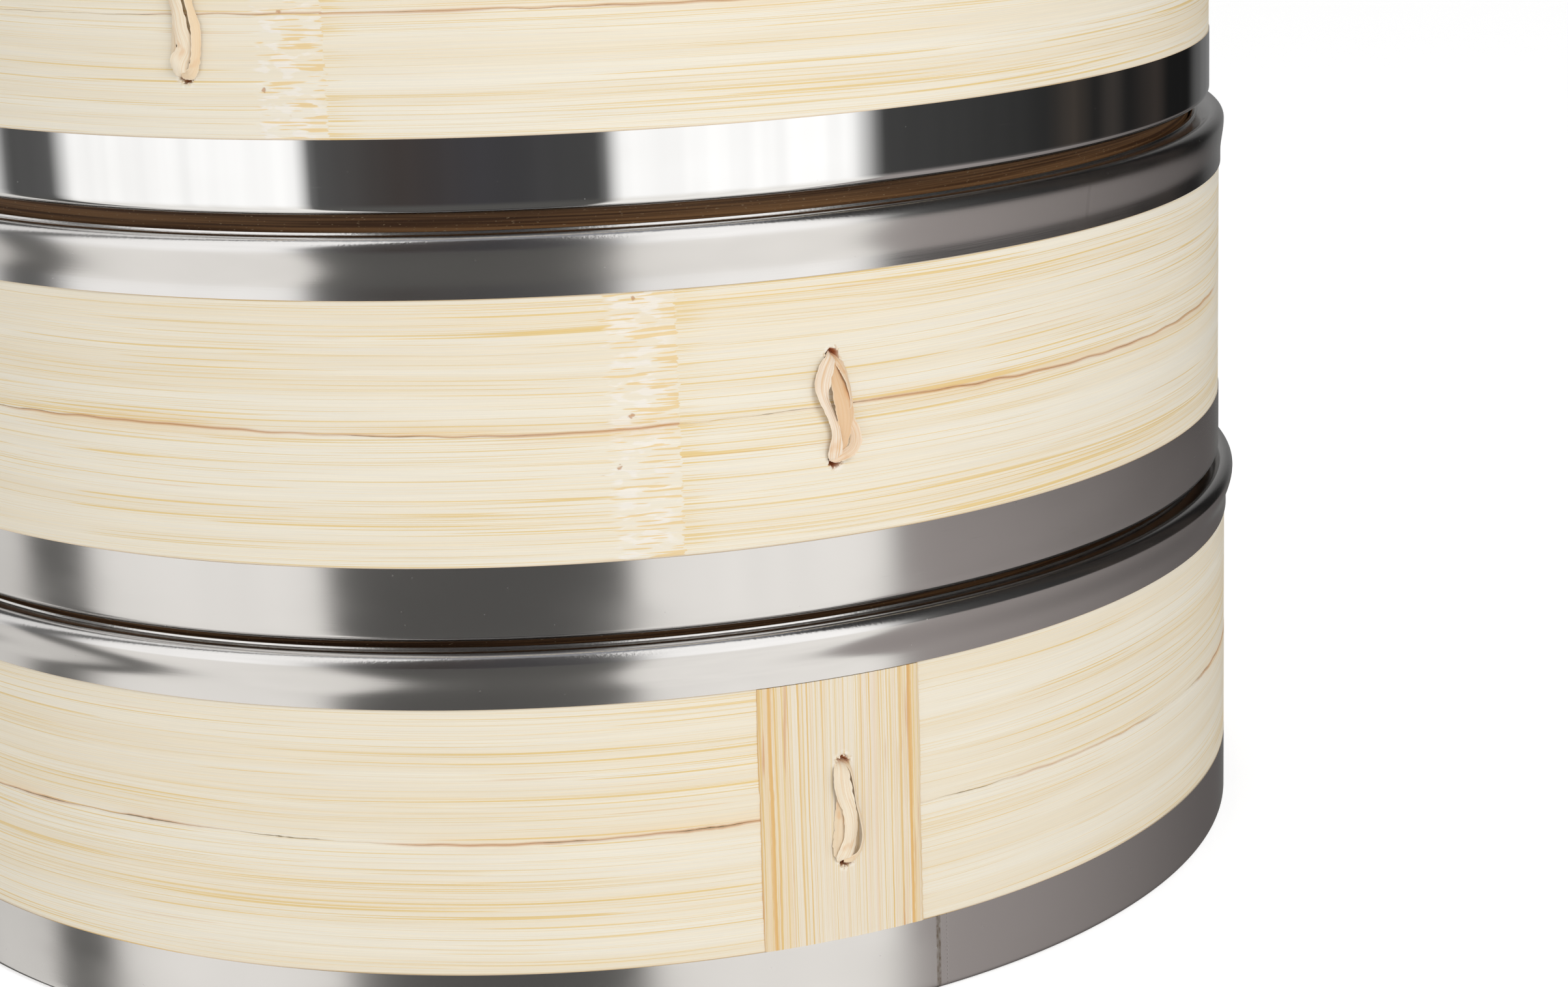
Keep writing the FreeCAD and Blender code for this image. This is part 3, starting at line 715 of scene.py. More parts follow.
def wall_strip(s, part, material):
    """One of the two bent strips of a wall, with its edge at the seam cut by hand."""
    bottom = part == "bottom"
    degrees = ring_angles(s.strip_angle, s.stitch_angles)
    centre, stand_back = seam_line(s, degrees)
    seam_edge = centre - stand_back if bottom else centre + stand_back
    seed = {"lower": 100, "upper": 200, "lid": 300}[s.name] + (0 if bottom else 50)
    outline, on_face = bottom_outline(s) if bottom else top_outline(s)
    r = np.repeat(outline[:, :1], len(degrees), 1)
    z = np.repeat(outline[:, 1:], len(degrees), 1)

    # The rows near the seam follow its line; further off they fade back to level ones.
    follow = np.exp(-np.abs(z - s.seam) / 3.0)
    z = z + follow * (seam_edge - s.seam)[None, :]
    off_seam = np.abs(z - seam_edge[None, :])
    edge_row = off_seam < 0.05
    r = np.where(edge_row & (r > s.inside + 1.0), r - 0.10, r)

    # Slight unevenness of hand-bent stock, and the stitch holes.
    uneven = 0.05 * round_noise(seed, degrees, 2, 12)
    r = r + np.where(on_face[:, None], uneven[None, :] - 0.05, 0.0)
    dimpled, to_hole = hole_dimples(s, r, degrees[None, :], z, True, seed)
    r = np.where(on_face[:, None], dimpled, r)
    to_hole = np.where(on_face[:, None], to_hole, FAR)

    points = on_ring(r, degrees[None, :], z)
    u = s.radius * np.radians(degrees)[None, :]
    v = z + (s.radius - r) * (~on_face)[:, None]
    steel_edge = s.band_top if bottom else (s.rim_foot if s.has_rim else s.top + FAR)
    to_steel = np.where(on_face[:, None], np.abs(z - steel_edge), FAR)
    to_seam = np.where(on_face[:, None], off_seam, FAR)
    spacing = 2.0 * math.pi * s.radius / NODES_ROUND
    skin = Skin()
    skin.add(points, grid_faces(len(outline), len(degrees), True, True), (u, v, float(seed)),
             (to_steel, to_seam, to_hole), (NODE_PLACE[s.name], spacing, 0.0))
    node = f"{s.name}_wall_{part}_strip"
    return skin.piece(f"{s.name}_bent_wall_{part}", s.body, material, [node])


def hand_cut(seed, z):
    """How far a hand-cut side stands back: a slow drift, and nicks a fibre deep."""
    drift = 0.10 + 0.07 * line_noise(seed, z, 60.0, 18.0)
    fibres = 0.035 * line_noise(seed + 9, z, 4.0, 1.9)
    nicks = 0.09 * smooth(1.1, 1.5, line_noise(seed + 5, z, 9.0, 3.0))
    return np.maximum(drift + (fibres + nicks), 0.0)


def cover_strip(s, material):
    """The upright strip over the wall's joint, with hand-cut sides."""
    low = s.band_top + 0.1
    high = s.rim_foot - 0.1
    stitched = any(abs(a - s.strip_angle) < 1.0 for a in s.stitch_angles)
    holes = s.holes if stitched else []
    z = spaced(low, high, 0.6, holes)
    half = STRIP_WIDTH / 2.0
    across = spaced(-half, half, 0.8, [0.0] if holes else [])
    seed = {"lower": 401, "upper": 402, "lid": 403}[s.name]
    left = -half + hand_cut(seed, z)
    right = half - hand_cut(seed + 20, z)
    share = (across + half) / (2.0 * half)
    arcs = left[:, None] * (1.0 - share) + right[:, None] * share
    to_side = np.minimum(arcs - left[:, None], right[:, None] - arcs)
    face = s.radius + STRIP_PROUD
    sunk = 0.22 * smooth(0.45, 0.0, to_side)
    wave = 0.03 * line_noise(seed + 40, across, 12.0, 3.0)[None, :] * smooth(0.0, 2.0, to_side)
    degrees = s.strip_angle + np.degrees(arcs / s.radius)
    zz = np.repeat(z[:, None], len(across), 1)
    r = face - 0.04 - sunk + wave
    to_hole = np.full(r.shape, FAR)
    if holes:
        r, to_hole = hole_dimples(s, r, degrees, zz, True, seed)
    back_r = np.minimum(np.full(r.shape, s.radius - STRIP_POCKET), r - 0.3)
    points, faces = slab(on_ring(r, degrees, zz), on_ring(back_r, degrees, zz))
    skin = Skin()
    skin.add(points, faces, (twice(zz), twice(arcs), float(seed)),
             (twice(to_side), FAR, twice(to_hole)))
    return skin.piece(f"{s.name}_cover_strip", s.body, material, [f"{s.name}_joint_strip"])


def hoop(s, name, node, material, low, high, seed, chamfer=0.6, skin_side_and_gap_shade=True, holes=True):
    """A plain bamboo hoop inside the wall, with softened edges."""
    outer = s.inside - GLUE_GAP
    inner = outer + GLUE_GAP - HOOP_THICKNESS
    fine = [h for h in s.holes if holes and low < h < high]
    degrees = ring_angles(HOOP_START, s.stitch_angles if holes else ())
    inner_rows = spaced(low + chamfer, high - chamfer, 2.6, fine, fine_step=0.27)
    outer_rows = spaced(low + chamfer, high - chamfer, 2.6)
    half = chamfer * 0.3
    outline = [(outer, z) for z in outer_rows]
    outline += [(outer - half, high - half), (outer - chamfer, high)]
    outline += [(inner + chamfer, high), (inner + half, high - half)]
    outline += [(inner, z) for z in inner_rows[::-1]]
    outline += [(inner + half, low + half), (inner + chamfer, low)]
    outline += [(outer - chamfer, low), (outer - half, low + half)]
    outline = np.array(outline)
    r = np.repeat(outline[:, :1], len(degrees), 1)
    z = np.repeat(outline[:, 1:], len(degrees), 1)
    top_wave = 0.10 * round_noise(seed, degrees, 6, 40) - 0.12
    z = z + np.where(outline[:, 1:] > high - chamfer - 0.01, top_wave[None, :], 0.0)
    on_inner = outline[:, 0] < inner + 0.01
    to_hole = np.full(r.shape, FAR)
    if holes:
        dimpled, near = hole_dimples(s, r, degrees[None, :], z, False, seed, depth=1.6)
        r = np.where(on_inner[:, None], dimpled, r)
        to_hole = np.where(on_inner[:, None], near, FAR)
    on_outer = outline[:, 0] > outer - 0.01
    # The lip hoops' outer face is painted dark: partly the bamboo skin's colour, partly painted shade for
    # the gap between tiers.
    dark = np.repeat(on_outer[:, None].astype(float) * (1.0 if skin_side_and_gap_shade else 0.0), len(degrees), 1)
    skin = Skin()
    u = outer * np.radians(degrees)[None, :]
    skin.add(on_ring(r, degrees[None, :], z), grid_faces(len(outline), len(degrees), True, True),
             (u, z + (outer - r), float(seed)), (FAR, FAR, to_hole),
             (110.0, 2.0 * math.pi * outer / 3.0, dark))
    return skin.piece(name, s.body, material, [node])


# ---------------------------------------------------------------- steel

def steel_ring(s, name, node, material, line, weld, seed):
    """A band turned from the line of its outer face, with the small waves of rolled sheet.
    weld is (angle from the front, how strongly it shows); the sheet's ends meet there."""
    angle, shows = weld
    wobble = 0.02
    turned = np.concatenate([[0.03, 0.2], np.arange(0.5, 359.7, 0.375), [359.8, 359.97]])
    degrees = angle + turned
    outline = thickened(line, SHEET)
    r = np.repeat(outline[:, :1], len(degrees), 1)
    z = np.repeat(outline[:, 1:], len(degrees), 1)
    wave = wobble * round_noise(seed, degrees, 2, 9) + 0.15 * wobble * round_noise(seed + 1, degrees, 12, 40)
    r = r + wave[None, :] - wobble
    u = s.radius * np.radians(turned)
    from_weld = s.radius * np.radians((turned + 180.0) % 360.0 - 180.0)
    skin = Skin()
    skin.add(on_ring(r, degrees[None, :], z), grid_faces(len(outline), len(degrees), True, True),
             (u[None, :], z, float(seed)), marks=(shows, from_weld[None, :], 0.0))
    return skin.piece(name, s.body, material, [node], sharp=50.0)


def base_band(s, material, weld, seed):
    outer = s.band_outer
    inner = outer - BAND_CURL
    line = joined(
        run((inner - BAND_LIP, s.base), (inner, s.base), 4),
        arc((inner, s.base + BAND_CURL), BAND_CURL, -90.0, 0.0, 11),
        run((outer, s.base + BAND_CURL), (outer, s.band_top), 7),
    )
    return steel_ring(s, f"{s.name}_steel_base", f"{s.name}_base_band", material, line, weld, seed)


def rim_band(s, material, weld, seed):
    """The bell-mouth rim: it flares out, turns over in a bead and runs in to a raised hem."""
    rim_high = box_mm(s.name + "_rim_band")[1]
    bulge = rim_high[0]
    outer = s.radius + RIM_PROUD
    crest = rim_high[2]
    start = s.rim_foot + RIM_STRAIGHT
    bead = np.array([bulge - RIM_BEAD, crest - RIM_BEAD])
    hem = np.array([s.inside + RIM_INNER_GAP + RIM_HEM, crest - RIM_HEM_DROP - RIM_HEM])
    apart = bead - hem
    facing = math.atan2(apart[1], apart[0]) + math.acos((RIM_HEM - RIM_BEAD) / np.linalg.norm(apart))
    out = np.array([math.cos(facing), math.sin(facing)])
    flat_from = bead + RIM_BEAD * out
    flat_to = hem + RIM_HEM * out
    # From bead to hem the sheet dips a little, and then steps up to the hem's raised edge.
    share = (0.0, 0.25, 0.5, 0.7, 0.785, 0.80, 0.815, 0.83, 0.86, 1.0)
    lift = (0.0, -0.05, -0.10, -0.12, -0.12, -0.05, 0.17, 0.25, HEM_RIDGE, HEM_RIDGE)
    flat = [tuple(flat_from + (flat_to - flat_from) * t + out * h) for t, h in zip(share, lift)]
    rise = np.linspace(0.0, 1.0, 10)
    flare = [(outer + (bulge - outer) * smooth(0.0, 1.0, t), start + (bead[1] - start) * t) for t in rise]
    hem_arc = arc(hem, RIM_HEM, math.degrees(facing), 180.0, 7)
    hem_arc = [(r, z + HEM_RIDGE * smooth(180.0, math.degrees(facing), a))
               for (r, z), a in zip(hem_arc, np.linspace(math.degrees(facing), 180.0, 7))]
    line = joined(
        run((outer, s.rim_foot), (outer, start), 3),
        flare,
        arc(bead, RIM_BEAD, 0.0, math.degrees(facing), 18),
        flat,
        hem_arc,
        run(hem_arc[-1], (s.inside + RIM_INNER_GAP, crest - RIM_SEAT_DROP), 3),
    )
    name, node = f"{s.name}_steel_rim", f"{s.name}_rim_band"
    return steel_ring(s, name, node, material, line, weld, seed)


# ---------------------------------------------------------------- floors, ribs and woven top

def stick(skin, ends, width, z_under, z_top, seed, along_x, crown=0.0, steps=26):
    """A split-bamboo stick laid along X or Y.  z_under and z_top are functions of x and y."""
    a, b, middle = ends
    t = np.linspace(a, b, steps)
    half = width / 2.0
    # The lanes are closer together towards the stick's sides.
    lanes = 7
    share = np.linspace(-1.0, 1.0, lanes)
    share = np.sign(share) * np.abs(share) ** 0.75
    side = middle + half * share[None, :] + 0.10 * line_noise(seed, t, 90.0, 25.0)[:, None]
    tt = np.repeat(t[:, None], lanes, 1)
    x, y = (tt, side) if along_x else (side, tt)
    rounded = smooth(1.0, 0.8, np.abs(share))[None, :]
    top = z_top(x, y) - crown * share[None, :] ** 2 - 0.25 * (1.0 - rounded)
    under = z_under(x, y) + 0.15 * (1.0 - rounded)
    points, faces = slab(np.stack([x, y, top], -1), np.stack([x, y, under], -1))
    across = np.repeat((half * share)[None, :], steps, 0)
    to_side = half - np.abs(across)
    lane = np.concatenate([across.reshape(-1), across.reshape(-1) + 40.0])
    skin.add(points, faces, (twice(tt), lane, float(seed)), (twice(to_side) + 0.6, FAR, FAR),
             (float((seed * 37) % 160), 300.0, 0.0))


def chord(radius, offset):
    return math.sqrt(max(radius ** 2 - offset ** 2, 0.0))


def tier_floor(s, slat_material):
    """Bars and slats of a tier's floor, each stick a little different."""
    rng = np.random.default_rng({"lower": 71, "upper": 72}[s.name])
    bar_low, bar_high = box_mm(s.name + "_floor_bars")
    slat_low, slat_high = box_mm(s.name + "_floor_slats")
    reach = s.inside - 0.3
    within = s.inside - HOOP_THICKNESS - 0.2
    end_top = bar_low[2] + BAR_END_HEIGHT
    bars = Skin()
    for k in range(3):
        x = (k - 1) * BAR_SPACING
        full = chord(within, abs(x) + 5.0)
        end = chord(reach, abs(x) + 5.0)
        under = lambda x, y: np.full(x.shape, bar_low[2] + 0.05)
        over = lambda x, y: np.where(np.abs(y) < full, bar_high[2] - 0.05, end_top)
        stick(bars, (-end, end, x), BAR_WIDTH, under, over, 500 + k + int(s.base), False, steps=90)
    bars.piece(f"{s.name}_split_bars", s.body, slat_material, [s.name + "_floor_bars"])
    slats = Skin()
    under = lambda x, y: np.full(x.shape, slat_low[2])
    over = lambda x, y: np.full(x.shape, slat_high[2] - 0.02)
    places = np.linspace(slat_low[1] + SLAT_MARGIN, slat_high[1] - SLAT_MARGIN, SLAT_COUNT)
    # No two slats are quite the same width.  Every second random number is used.
    narrowings = 0.5 * rng.random(2 * SLAT_COUNT)[::2]
    for k, (y, narrowing) in enumerate(zip(places, narrowings)):
        end = chord(reach, abs(y) + SLAT_MARGIN)
        stick(slats, (-end, end, y), SLAT_WIDTH - narrowing, under, over, 540 + k + int(s.base), True,
              crown=0.22)
    slats.piece(f"{s.name}_split_slats", s.body, slat_material, [s.name + "_floor_slats"])


def dome_height(radius, edge_radius, edge_z):
    """Height of the lid's dome at a distance from its axis: a flat edge, then a shallow crown."""
    flat = edge_radius - DOME_FLAT
    crown = (flat ** 2 + DOME_RISE ** 2) / (2.0 * DOME_RISE)
    centre = edge_z + DOME_RISE - crown
    inside = np.minimum(radius, flat)
    return centre + np.sqrt(crown ** 2 - inside ** 2)


def lid_ribs(s, material):
    low = box_mm("lid_ribs")[0]
    reach = s.inside - 0.3
    ribs = Skin()
    for k in range(3):
        x = (k - 1) * RIB_SPACING
        end = chord(reach, abs(x) + RIB_WIDTH / 2.0)
        under = lambda x, y: dome_height(np.hypot(x, y), reach, low[2] + 0.05)
        over = lambda x, y: under(x, y) + RIB_THICKNESS - 0.1
        stick(ribs, (-end, end, x), RIB_WIDTH - 0.2, under, over, 600 + k, False, crown=0.1, steps=60)
    ribs.piece("lid_bent_ribs", s.body, material, ["lid_ribs"])


STEPS_PER_CROSSING = 3.8


def woven_mat(s, name, node, material, pitch, width, thickness, pattern, seed):
    """Splints woven over and under each other on the dome.  pattern gives +1 where the splint
    along Y passes over the one along X."""
    low, high = box_mm(node)
    mat_thickness = high[2] - low[2] - DOME_RISE
    edge = s.inside - 0.25
    swing = (mat_thickness - thickness) / 2.0 - 0.05
    middle = low[2] + mat_thickness / 2.0
    rng = np.random.default_rng(seed)
    count = int(edge / pitch)
    lanes = np.linspace(-0.5, 0.5, 5)
    skin = Skin()
    for along_x in (False, True):
        for i in range(-count, count + 1):
            at = i * pitch
            end = chord(edge, abs(at) + width / 2.0)
            if end < 1.5 * pitch:
                continue
            steps = max(int(2.0 * end / pitch * STEPS_PER_CROSSING), 8)
            t = np.linspace(-end, end, steps)
            left = np.floor(t / pitch).astype(int)
            share = smooth(0.18, 0.82, t / pitch - left)
            sign = (lambda j: pattern(j, i)) if along_x else (lambda j: pattern(i, j))
            here = np.array([sign(j) for j in left], float)
            after = np.array([sign(j + 1) for j in left], float)
            height = swing * (here * (1.0 - share) + after * share) * (-1.0 if along_x else 1.0)
            shift = rng.uniform(-0.12, 0.12)
            own_width = width * rng.uniform(0.92, 1.0)
            side = at + shift + own_width * lanes[None, :] + np.zeros((steps, 1))
            tt = np.repeat(t[:, None], len(lanes), 1)
            x, y = (tt, side) if along_x else (side, tt)
            surface = middle + dome_height(np.hypot(x, y), edge, 0.0) + height[:, None]
            crown = thickness * (0.5 - 0.5 * (2.0 * np.abs(lanes)) ** 3)[None, :]
            front = np.stack([x, y, surface + crown], -1)
            back = np.stack([x, y, surface - thickness / 2.0], -1)
            points, faces = slab(front, back)
            across = np.repeat((own_width * lanes)[None, :], steps, 0)
            splint = seed + 3.0 * i + (500.0 if along_x else 0.0)
            skin.add(points, faces, (twice(tt), twice(across), splint),
                     (twice(own_width / 2.0 - np.abs(across)) + 0.25, FAR, FAR),
                     (rng.uniform(-100.0, 100.0), 260.0, 0.0))
    return skin.piece(name, s.body, material, [node])


def twill(i, j):
    return 1.0 if (i + j) % 4 < 2 else -1.0


def plain_weave(i, j):
    return 1.0 if (i + j) % 2 == 0 else -1.0


# ---------------------------------------------------------------- raffia stitches

def through_points(points, count):
    """Catmull-Rom curve through given points, count samples."""
    p = np.array(points, float)
    p = np.concatenate([[2.0 * p[0] - p[1]], p, [2.0 * p[-1] - p[-2]]])
    spans = len(p) - 3
    t = np.linspace(0.0, spans, count)
    k = np.minimum(t.astype(int), spans - 1)
    f = (t - k)[:, None]
    a, b, c, d = p[k], p[k + 1], p[k + 2], p[k + 3]
    square = (2 * a - 5 * b + 4 * c - d) * f ** 2
    cube = (3 * b - a - 3 * c + d) * f ** 3
    return 0.5 * (2 * b + (c - a) * f + square + cube)


def ribbon(skin, s, angle, face_radius, path, seed, inward=False, tone=0.0, steps=64, lanes=7):
    """A flat ribbon.  Each point of the path is (across, up, off the wall, width, twist in degrees),
    in millimetres from the middle of the stitch."""
    line = through_points(path, steps)
    place = line[:, :3]
    width = line[:, 3] * (1.0 + 0.05 * line_noise(seed, np.arange(steps) * 0.4, 9.0, 2.0))
    twist = np.radians(line[:, 4])
    ahead = np.gradient(place, axis=0)
    ahead /= np.linalg.norm(ahead, axis=1)[:, None]
    off_wall = np.array([0.0, 0.0, 1.0])
    side = np.cross(ahead, off_wall)
    side /= np.maximum(np.linalg.norm(side, axis=1), 1e-6)[:, None]
    up = np.cross(side, ahead)
    flat = np.cos(twist)[:, None] * side + np.sin(twist)[:, None] * up
    lift = np.cross(flat, ahead)
    share = np.linspace(-1.0, 1.0, lanes)
    cup = 0.09 * width[:, None] * (1.0 - share[None, :] ** 2)
    crease = 0.018 * line_noise(seed + 5, share * 1.3, 2.0, 0.7)[None, :] * (1.0 + np.zeros((steps, 1)))
    across = 0.5 * width[:, None] * share[None, :]
    ragged = 0.05 * line_noise(seed + 9, np.arange(steps) * 0.4, 3.0, 0.9)
    edge_rag = ragged[:, None] * (np.abs(share) ** 4)[None, :]
    grid = place[:, None, :] + (across + edge_rag)[..., None] * flat[:, None, :]
    middle = grid + (cup + crease)[..., None] * lift[:, None, :]
    thick = 0.09 * (1.0 - 0.6 * share[None, :, None] ** 4)
    front, back = middle + thick * lift[:, None, :], middle - thick * lift[:, None, :]

    def placed(g):
        out = -1.0 if inward else 1.0
        r = face_radius + out * g[..., 2]
        upper_hole, lower_hole = s.holes
        stretch = (upper_hole - lower_hole) / (2.0 * STITCH_REACH)
        height = (upper_hole + lower_hole) / 2.0 + g[..., 1] * stretch
        return on_ring(r, angle + np.degrees(g[..., 0] / face_radius), height)

    points, faces = slab(placed(front), placed(back))
    u = np.repeat(np.arange(steps)[:, None] * 0.35, lanes, 1)
    skin.add(points, faces, (twice(u), twice(across), float(seed)),
             (twice(0.5 * width[:, None] - np.abs(across)), FAR, FAR), (tone, 0.0, 0.0))


def fibres_at_hole(skin, s, angle, face_radius, up, seed):
    """Torn fibres standing round a stitch hole."""
    rng = np.random.default_rng(seed)
    for k in range(FIBRES_AT_HOLE):
        turn = rng.uniform(0.0, 2.0 * math.pi)
        start = STITCH_HOLE * rng.uniform(0.85, 1.05)
        length = rng.uniform(0.25, 0.6)
        lift = rng.uniform(0.08, 0.20)
        bend = rng.uniform(-0.6, 0.6)
        path = []
        for t in (0.0, 0.35, 0.7, 1.0):
            reach = start + length * t
            a = turn + bend * t
            path.append((reach * math.cos(a), up + reach * math.sin(a), -0.05 + lift * t ** 0.7,
                         0.30 * (1.0 - 0.8 * t), 20.0 * bend))
        ribbon(skin, s, angle, face_radius, path, seed + k, steps=8, lanes=3)


# How golden each ribbon of a stitch is: 0 is pale and 1 is deep.
RIBBON_TONES = (0.0, 0.8, 0.5, 0.35)

# Ribbons of the two kinds of stitch outside and of the one inside, laid for holes STITCH_REACH
# above and below the middle: (across, up, off the wall, width, twist in degrees).
CROSSED = [
    [(0.0, 8.9, -2.4, 1.3, 0), (-0.4, 8.7, 0.15, 1.6, -4), (-1.5, 6.9, 0.85, 2.4, -12),
     (-2.3, 4.5, 1.25, 2.4, -16), (-2.2, 2.3, 1.25, 1.8, 10), (-1.3, 0.0, 1.0, 1.8, 24),
     (-0.5, -2.0, 0.8, 1.6, 18), (-0.15, -4.0, 1.05, 1.5, 0), (-0.3, -6.1, 1.2, 2.0, -10),
     (-0.4, -7.6, 0.85, 2.2, -4), (-0.3, -8.5, 0.2, 1.6, 0), (-0.1, -8.8, -2.4, 1.2, 0)],
    [(0.5, 9.0, -2.2, 1.2, 0), (0.2, 8.2, -0.1, 1.4, 0), (0.05, 6.4, 0.45, 1.9, 10),
     (0.5, 3.7, 0.95, 2.6, 8), (1.15, 0.9, 1.15, 3.0, 0), (1.45, -1.6, 1.05, 2.6, -6),
     (1.4, -3.8, 0.75, 2.2, -10), (1.0, -5.8, 0.45, 2.0, -10), (0.5, -7.4, 0.2, 1.6, 0),
     (0.3, -8.7, -1.8, 1.0, 0)],
    [(0.6, 8.9, -2.2, 1.0, 0), (0.8, 8.0, 0.0, 1.3, 20), (1.35, 6.6, 0.55, 1.7, 35),
     (1.95, 4.7, 0.8, 1.6, 48), (2.35, 2.4, 0.9, 1.6, 60), (2.5, 0.4, 0.8, 1.6, 62),
     (2.2, -1.6, 0.55, 1.6, 40), (1.8, -3.4, 0.3, 1.5, 10)],
    [(1.7, -0.6, 0.35, 1.5, 30), (2.25, -2.2, 0.8, 1.6, -20), (2.9, -3.9, 1.15, 1.7, -34),
     (3.0, -5.7, 1.25, 1.8, -34), (2.4, -7.1, 1.15, 1.8, -26), (1.1, -8.0, 0.85, 1.6, -14),
     (-0.1, -8.5, 0.55, 1.3, -6), (-0.9, -8.3, 0.3, 0.9, 0)],
]
LOOPED = [
    [(-0.3, 9.0, -2.4, 1.4, 0), (-0.5, 8.4, 0.15, 2.2, -4), (-0.65, 6.0, 0.95, 2.7, -12),
     (-0.4, 3.4, 1.25, 2.6, -20), (0.3, 0.6, 1.25, 2.3, -6), (0.55, -2.0, 1.25, 2.4, 10),
     (0.35, -4.6, 1.15, 2.6, 14), (-0.25, -6.6, 1.15, 2.8, 8), (-0.7, -8.1, 0.75, 2.4, 0),
     (-0.5, -8.6, -0.3, 1.6, 0)],
    [(0.5, 9.0, -2.4, 1.2, 0), (0.95, 8.0, 0.1, 1.5, 58), (1.35, 5.2, 0.65, 1.6, 66),
     (1.7, 1.8, 0.85, 1.5, 64), (2.35, -1.6, 1.00, 1.5, 60), (2.65, -4.6, 1.05, 1.6, 56),
     (2.1, -7.2, 0.95, 1.6, 46), (0.9, -8.6, 0.65, 1.6, 26), (-0.5, -8.7, 0.35, 1.2, 8)],
    [(-0.1, 8.6, -2.2, 1.0, 0), (-0.5, 4.2, 0.25, 1.5, 8), (-0.95, -0.6, 0.45, 1.7, -24),
     (-1.25, -4.2, 0.55, 1.8, -30), (-1.35, -6.6, 0.60, 2.0, -20), (-0.7, -8.4, 0.05, 1.6, 0),
     (-0.2, -8.8, -2.3, 1.2, 0)],
]
INSIDE = [
    [(0.0, 8.9, -1.2, 1.4, 0), (-0.3, 8.1, 0.3, 2.0, 0), (-0.6, 2.9, 0.9, 2.4, -12),
     (0.4, -2.1, 1.0, 2.4, 12), (0.2, -8.1, 0.3, 2.0, 0), (0.0, -8.9, -1.2, 1.4, 0)],
    [(0.2, 8.9, -1.2, 1.2, 0), (0.7, 7.7, 0.2, 1.8, 20), (0.8, 1.9, 0.5, 2.2, 18),
     (-0.6, -3.1, 0.5, 2.2, -16), (-0.3, -7.9, 0.2, 1.8, -10), (0.0, -8.9, -1.2, 1.2, 0)],
]


def jittered(path, seed):
    """The same ribbon a little differently laid, as another stitch of the same hand."""
    if seed == 0:
        return path
    rng = np.random.default_rng(seed)
    moved = np.array(path, float)
    moved[1:-1, 0] += rng.normal(0.0, 0.18, len(path) - 2)
    moved[1:-1, 2] += np.abs(rng.normal(0.0, 0.05, len(path) - 2))
    moved[1:-1, 4] += rng.normal(0.0, 6.0, len(path) - 2)
    return moved.tolist()


def stitches(s, tan, pale):
    """The three stitches of a wall, outside and inside, joined into one piece each."""
    kinds = (CROSSED, LOOPED, CROSSED) if s.name == "upper" else (LOOPED, CROSSED, LOOPED)
    hoop_face = s.inside - HOOP_THICKNESS
    for k, (angle, kind) in enumerate(zip(s.stitch_angles, kinds)):
        on_strip = abs(angle - s.strip_angle) < 1.0
        face = s.radius + (STRIP_PROUD if on_strip else 0.0)
        skin = Skin()
        for i, path in enumerate(kind):
            ribbon(skin, s, angle, face, jittered(path, 40 * k + 7 * i if k else 0), 700 + 10 * k + i,
                   tone=RIBBON_TONES[i])
        for i, path in enumerate(INSIDE):
            ribbon(skin, s, angle, hoop_face, jittered(path, 31 + k * 5 + i), 760 + 10 * k + i,
                   inward=True, steps=36)
        for up in (STITCH_REACH, -STITCH_REACH):
            fibres_at_hole(skin, s, angle, face, up, 800 + 20 * k + int(up > 0) + int(s.base))
        material = pale if kind is LOOPED else tan
        skin.piece(f"{s.name}_raffia_{k + 1}", s.body, material)
    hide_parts(s.name + "_stitches")


# ---------------------------------------------------------------- studio

CAMERA_PLACE = (0.0, -0.58946, 0.211205)
CAMERA_PITCH = 14.8233
CAMERA_YAW = -4.15029
CAMERA_ROLL = -1.86462
CAMERA_LENS = 73.62
SENSOR_WIDTH = 36.0
KEY_PLACE = (0.55, -1.2, 0.9)
KEY_TARGET = (0.0, 0.0, 0.09)
KEY_SIZE = 0.6
KEY_POWER = 7.6
FLOOR_DROP = 0.0002
FLOOR_GLOW = 0.30
FLOOR_GLOW_IN_VIEW = 0.22


def add_camera():
    pitch, yaw, roll = (math.radians(a) for a in (CAMERA_PITCH, CAMERA_YAW, CAMERA_ROLL))
    ahead = Vector((-math.sin(yaw) * math.cos(pitch), math.cos(yaw) * math.cos(pitch), -math.sin(pitch)))
    level = Vector((math.cos(yaw), math.sin(yaw), 0.0))
    up = level.cross(ahead)
    right = math.cos(roll) * level + math.sin(roll) * up
    top = -math.sin(roll) * level + math.cos(roll) * up
    turn = Matrix((right, top, -ahead)).transposed()
    data = bpy.data.cameras.new("photo_camera")
    data.lens = CAMERA_LENS
    data.sensor_width = SENSOR_WIDTH
    camera = bpy.data.objects.new("photo_camera", data)
    camera.matrix_world = Matrix.Translation(Vector(CAMERA_PLACE)) @ turn.to_4x4()
    bpy.context.scene.collection.objects.link(camera)
    bpy.context.scene.camera = camera


# What polished steel sees round the object: (degrees from the front, level) at level view.
STUDIO_ZONES = [
    (-180, 0.30), (-172, 0.9), (-158, 0.9), (-153, 0.10), (-125, 0.08), (-120, 0.95), (-98, 1.0),
    (-94, 0.10), (-84, 0.12), (-80, 1.25), (-39, 1.3), (-36.4, 0.10), (-22, (0.068, 0.058, 0.055, 1.0)),
    (-10, (0.062, 0.060, 0.066, 1.0)), (9.6, 0.075), (12.2, 1.32), (50, 1.35), (55.5, 0.062), (80, 0.045),
    (90, 0.030), (97, (0.062, 0.052, 0.045, 1.0)), (103, 0.02), (108, (0.055, 0.048, 0.044, 1.0)),
    (113, 0.018), (124, (0.048, 0.040, 0.036, 1.0)), (129, 0.012), (140, 0.012), (146, 0.11),
    (158, 0.20), (176, 0.30),
]
WHITE = (1.0, 1.0, 1.0, 1.0)
CEILING = (0.34, 0.35, 0.38, 1.0)
TABLE_TINT = (0.84, 0.825, 0.80, 1.0)
TABLE_LEFT = (0.11, 0.108, 0.104, 1.0)
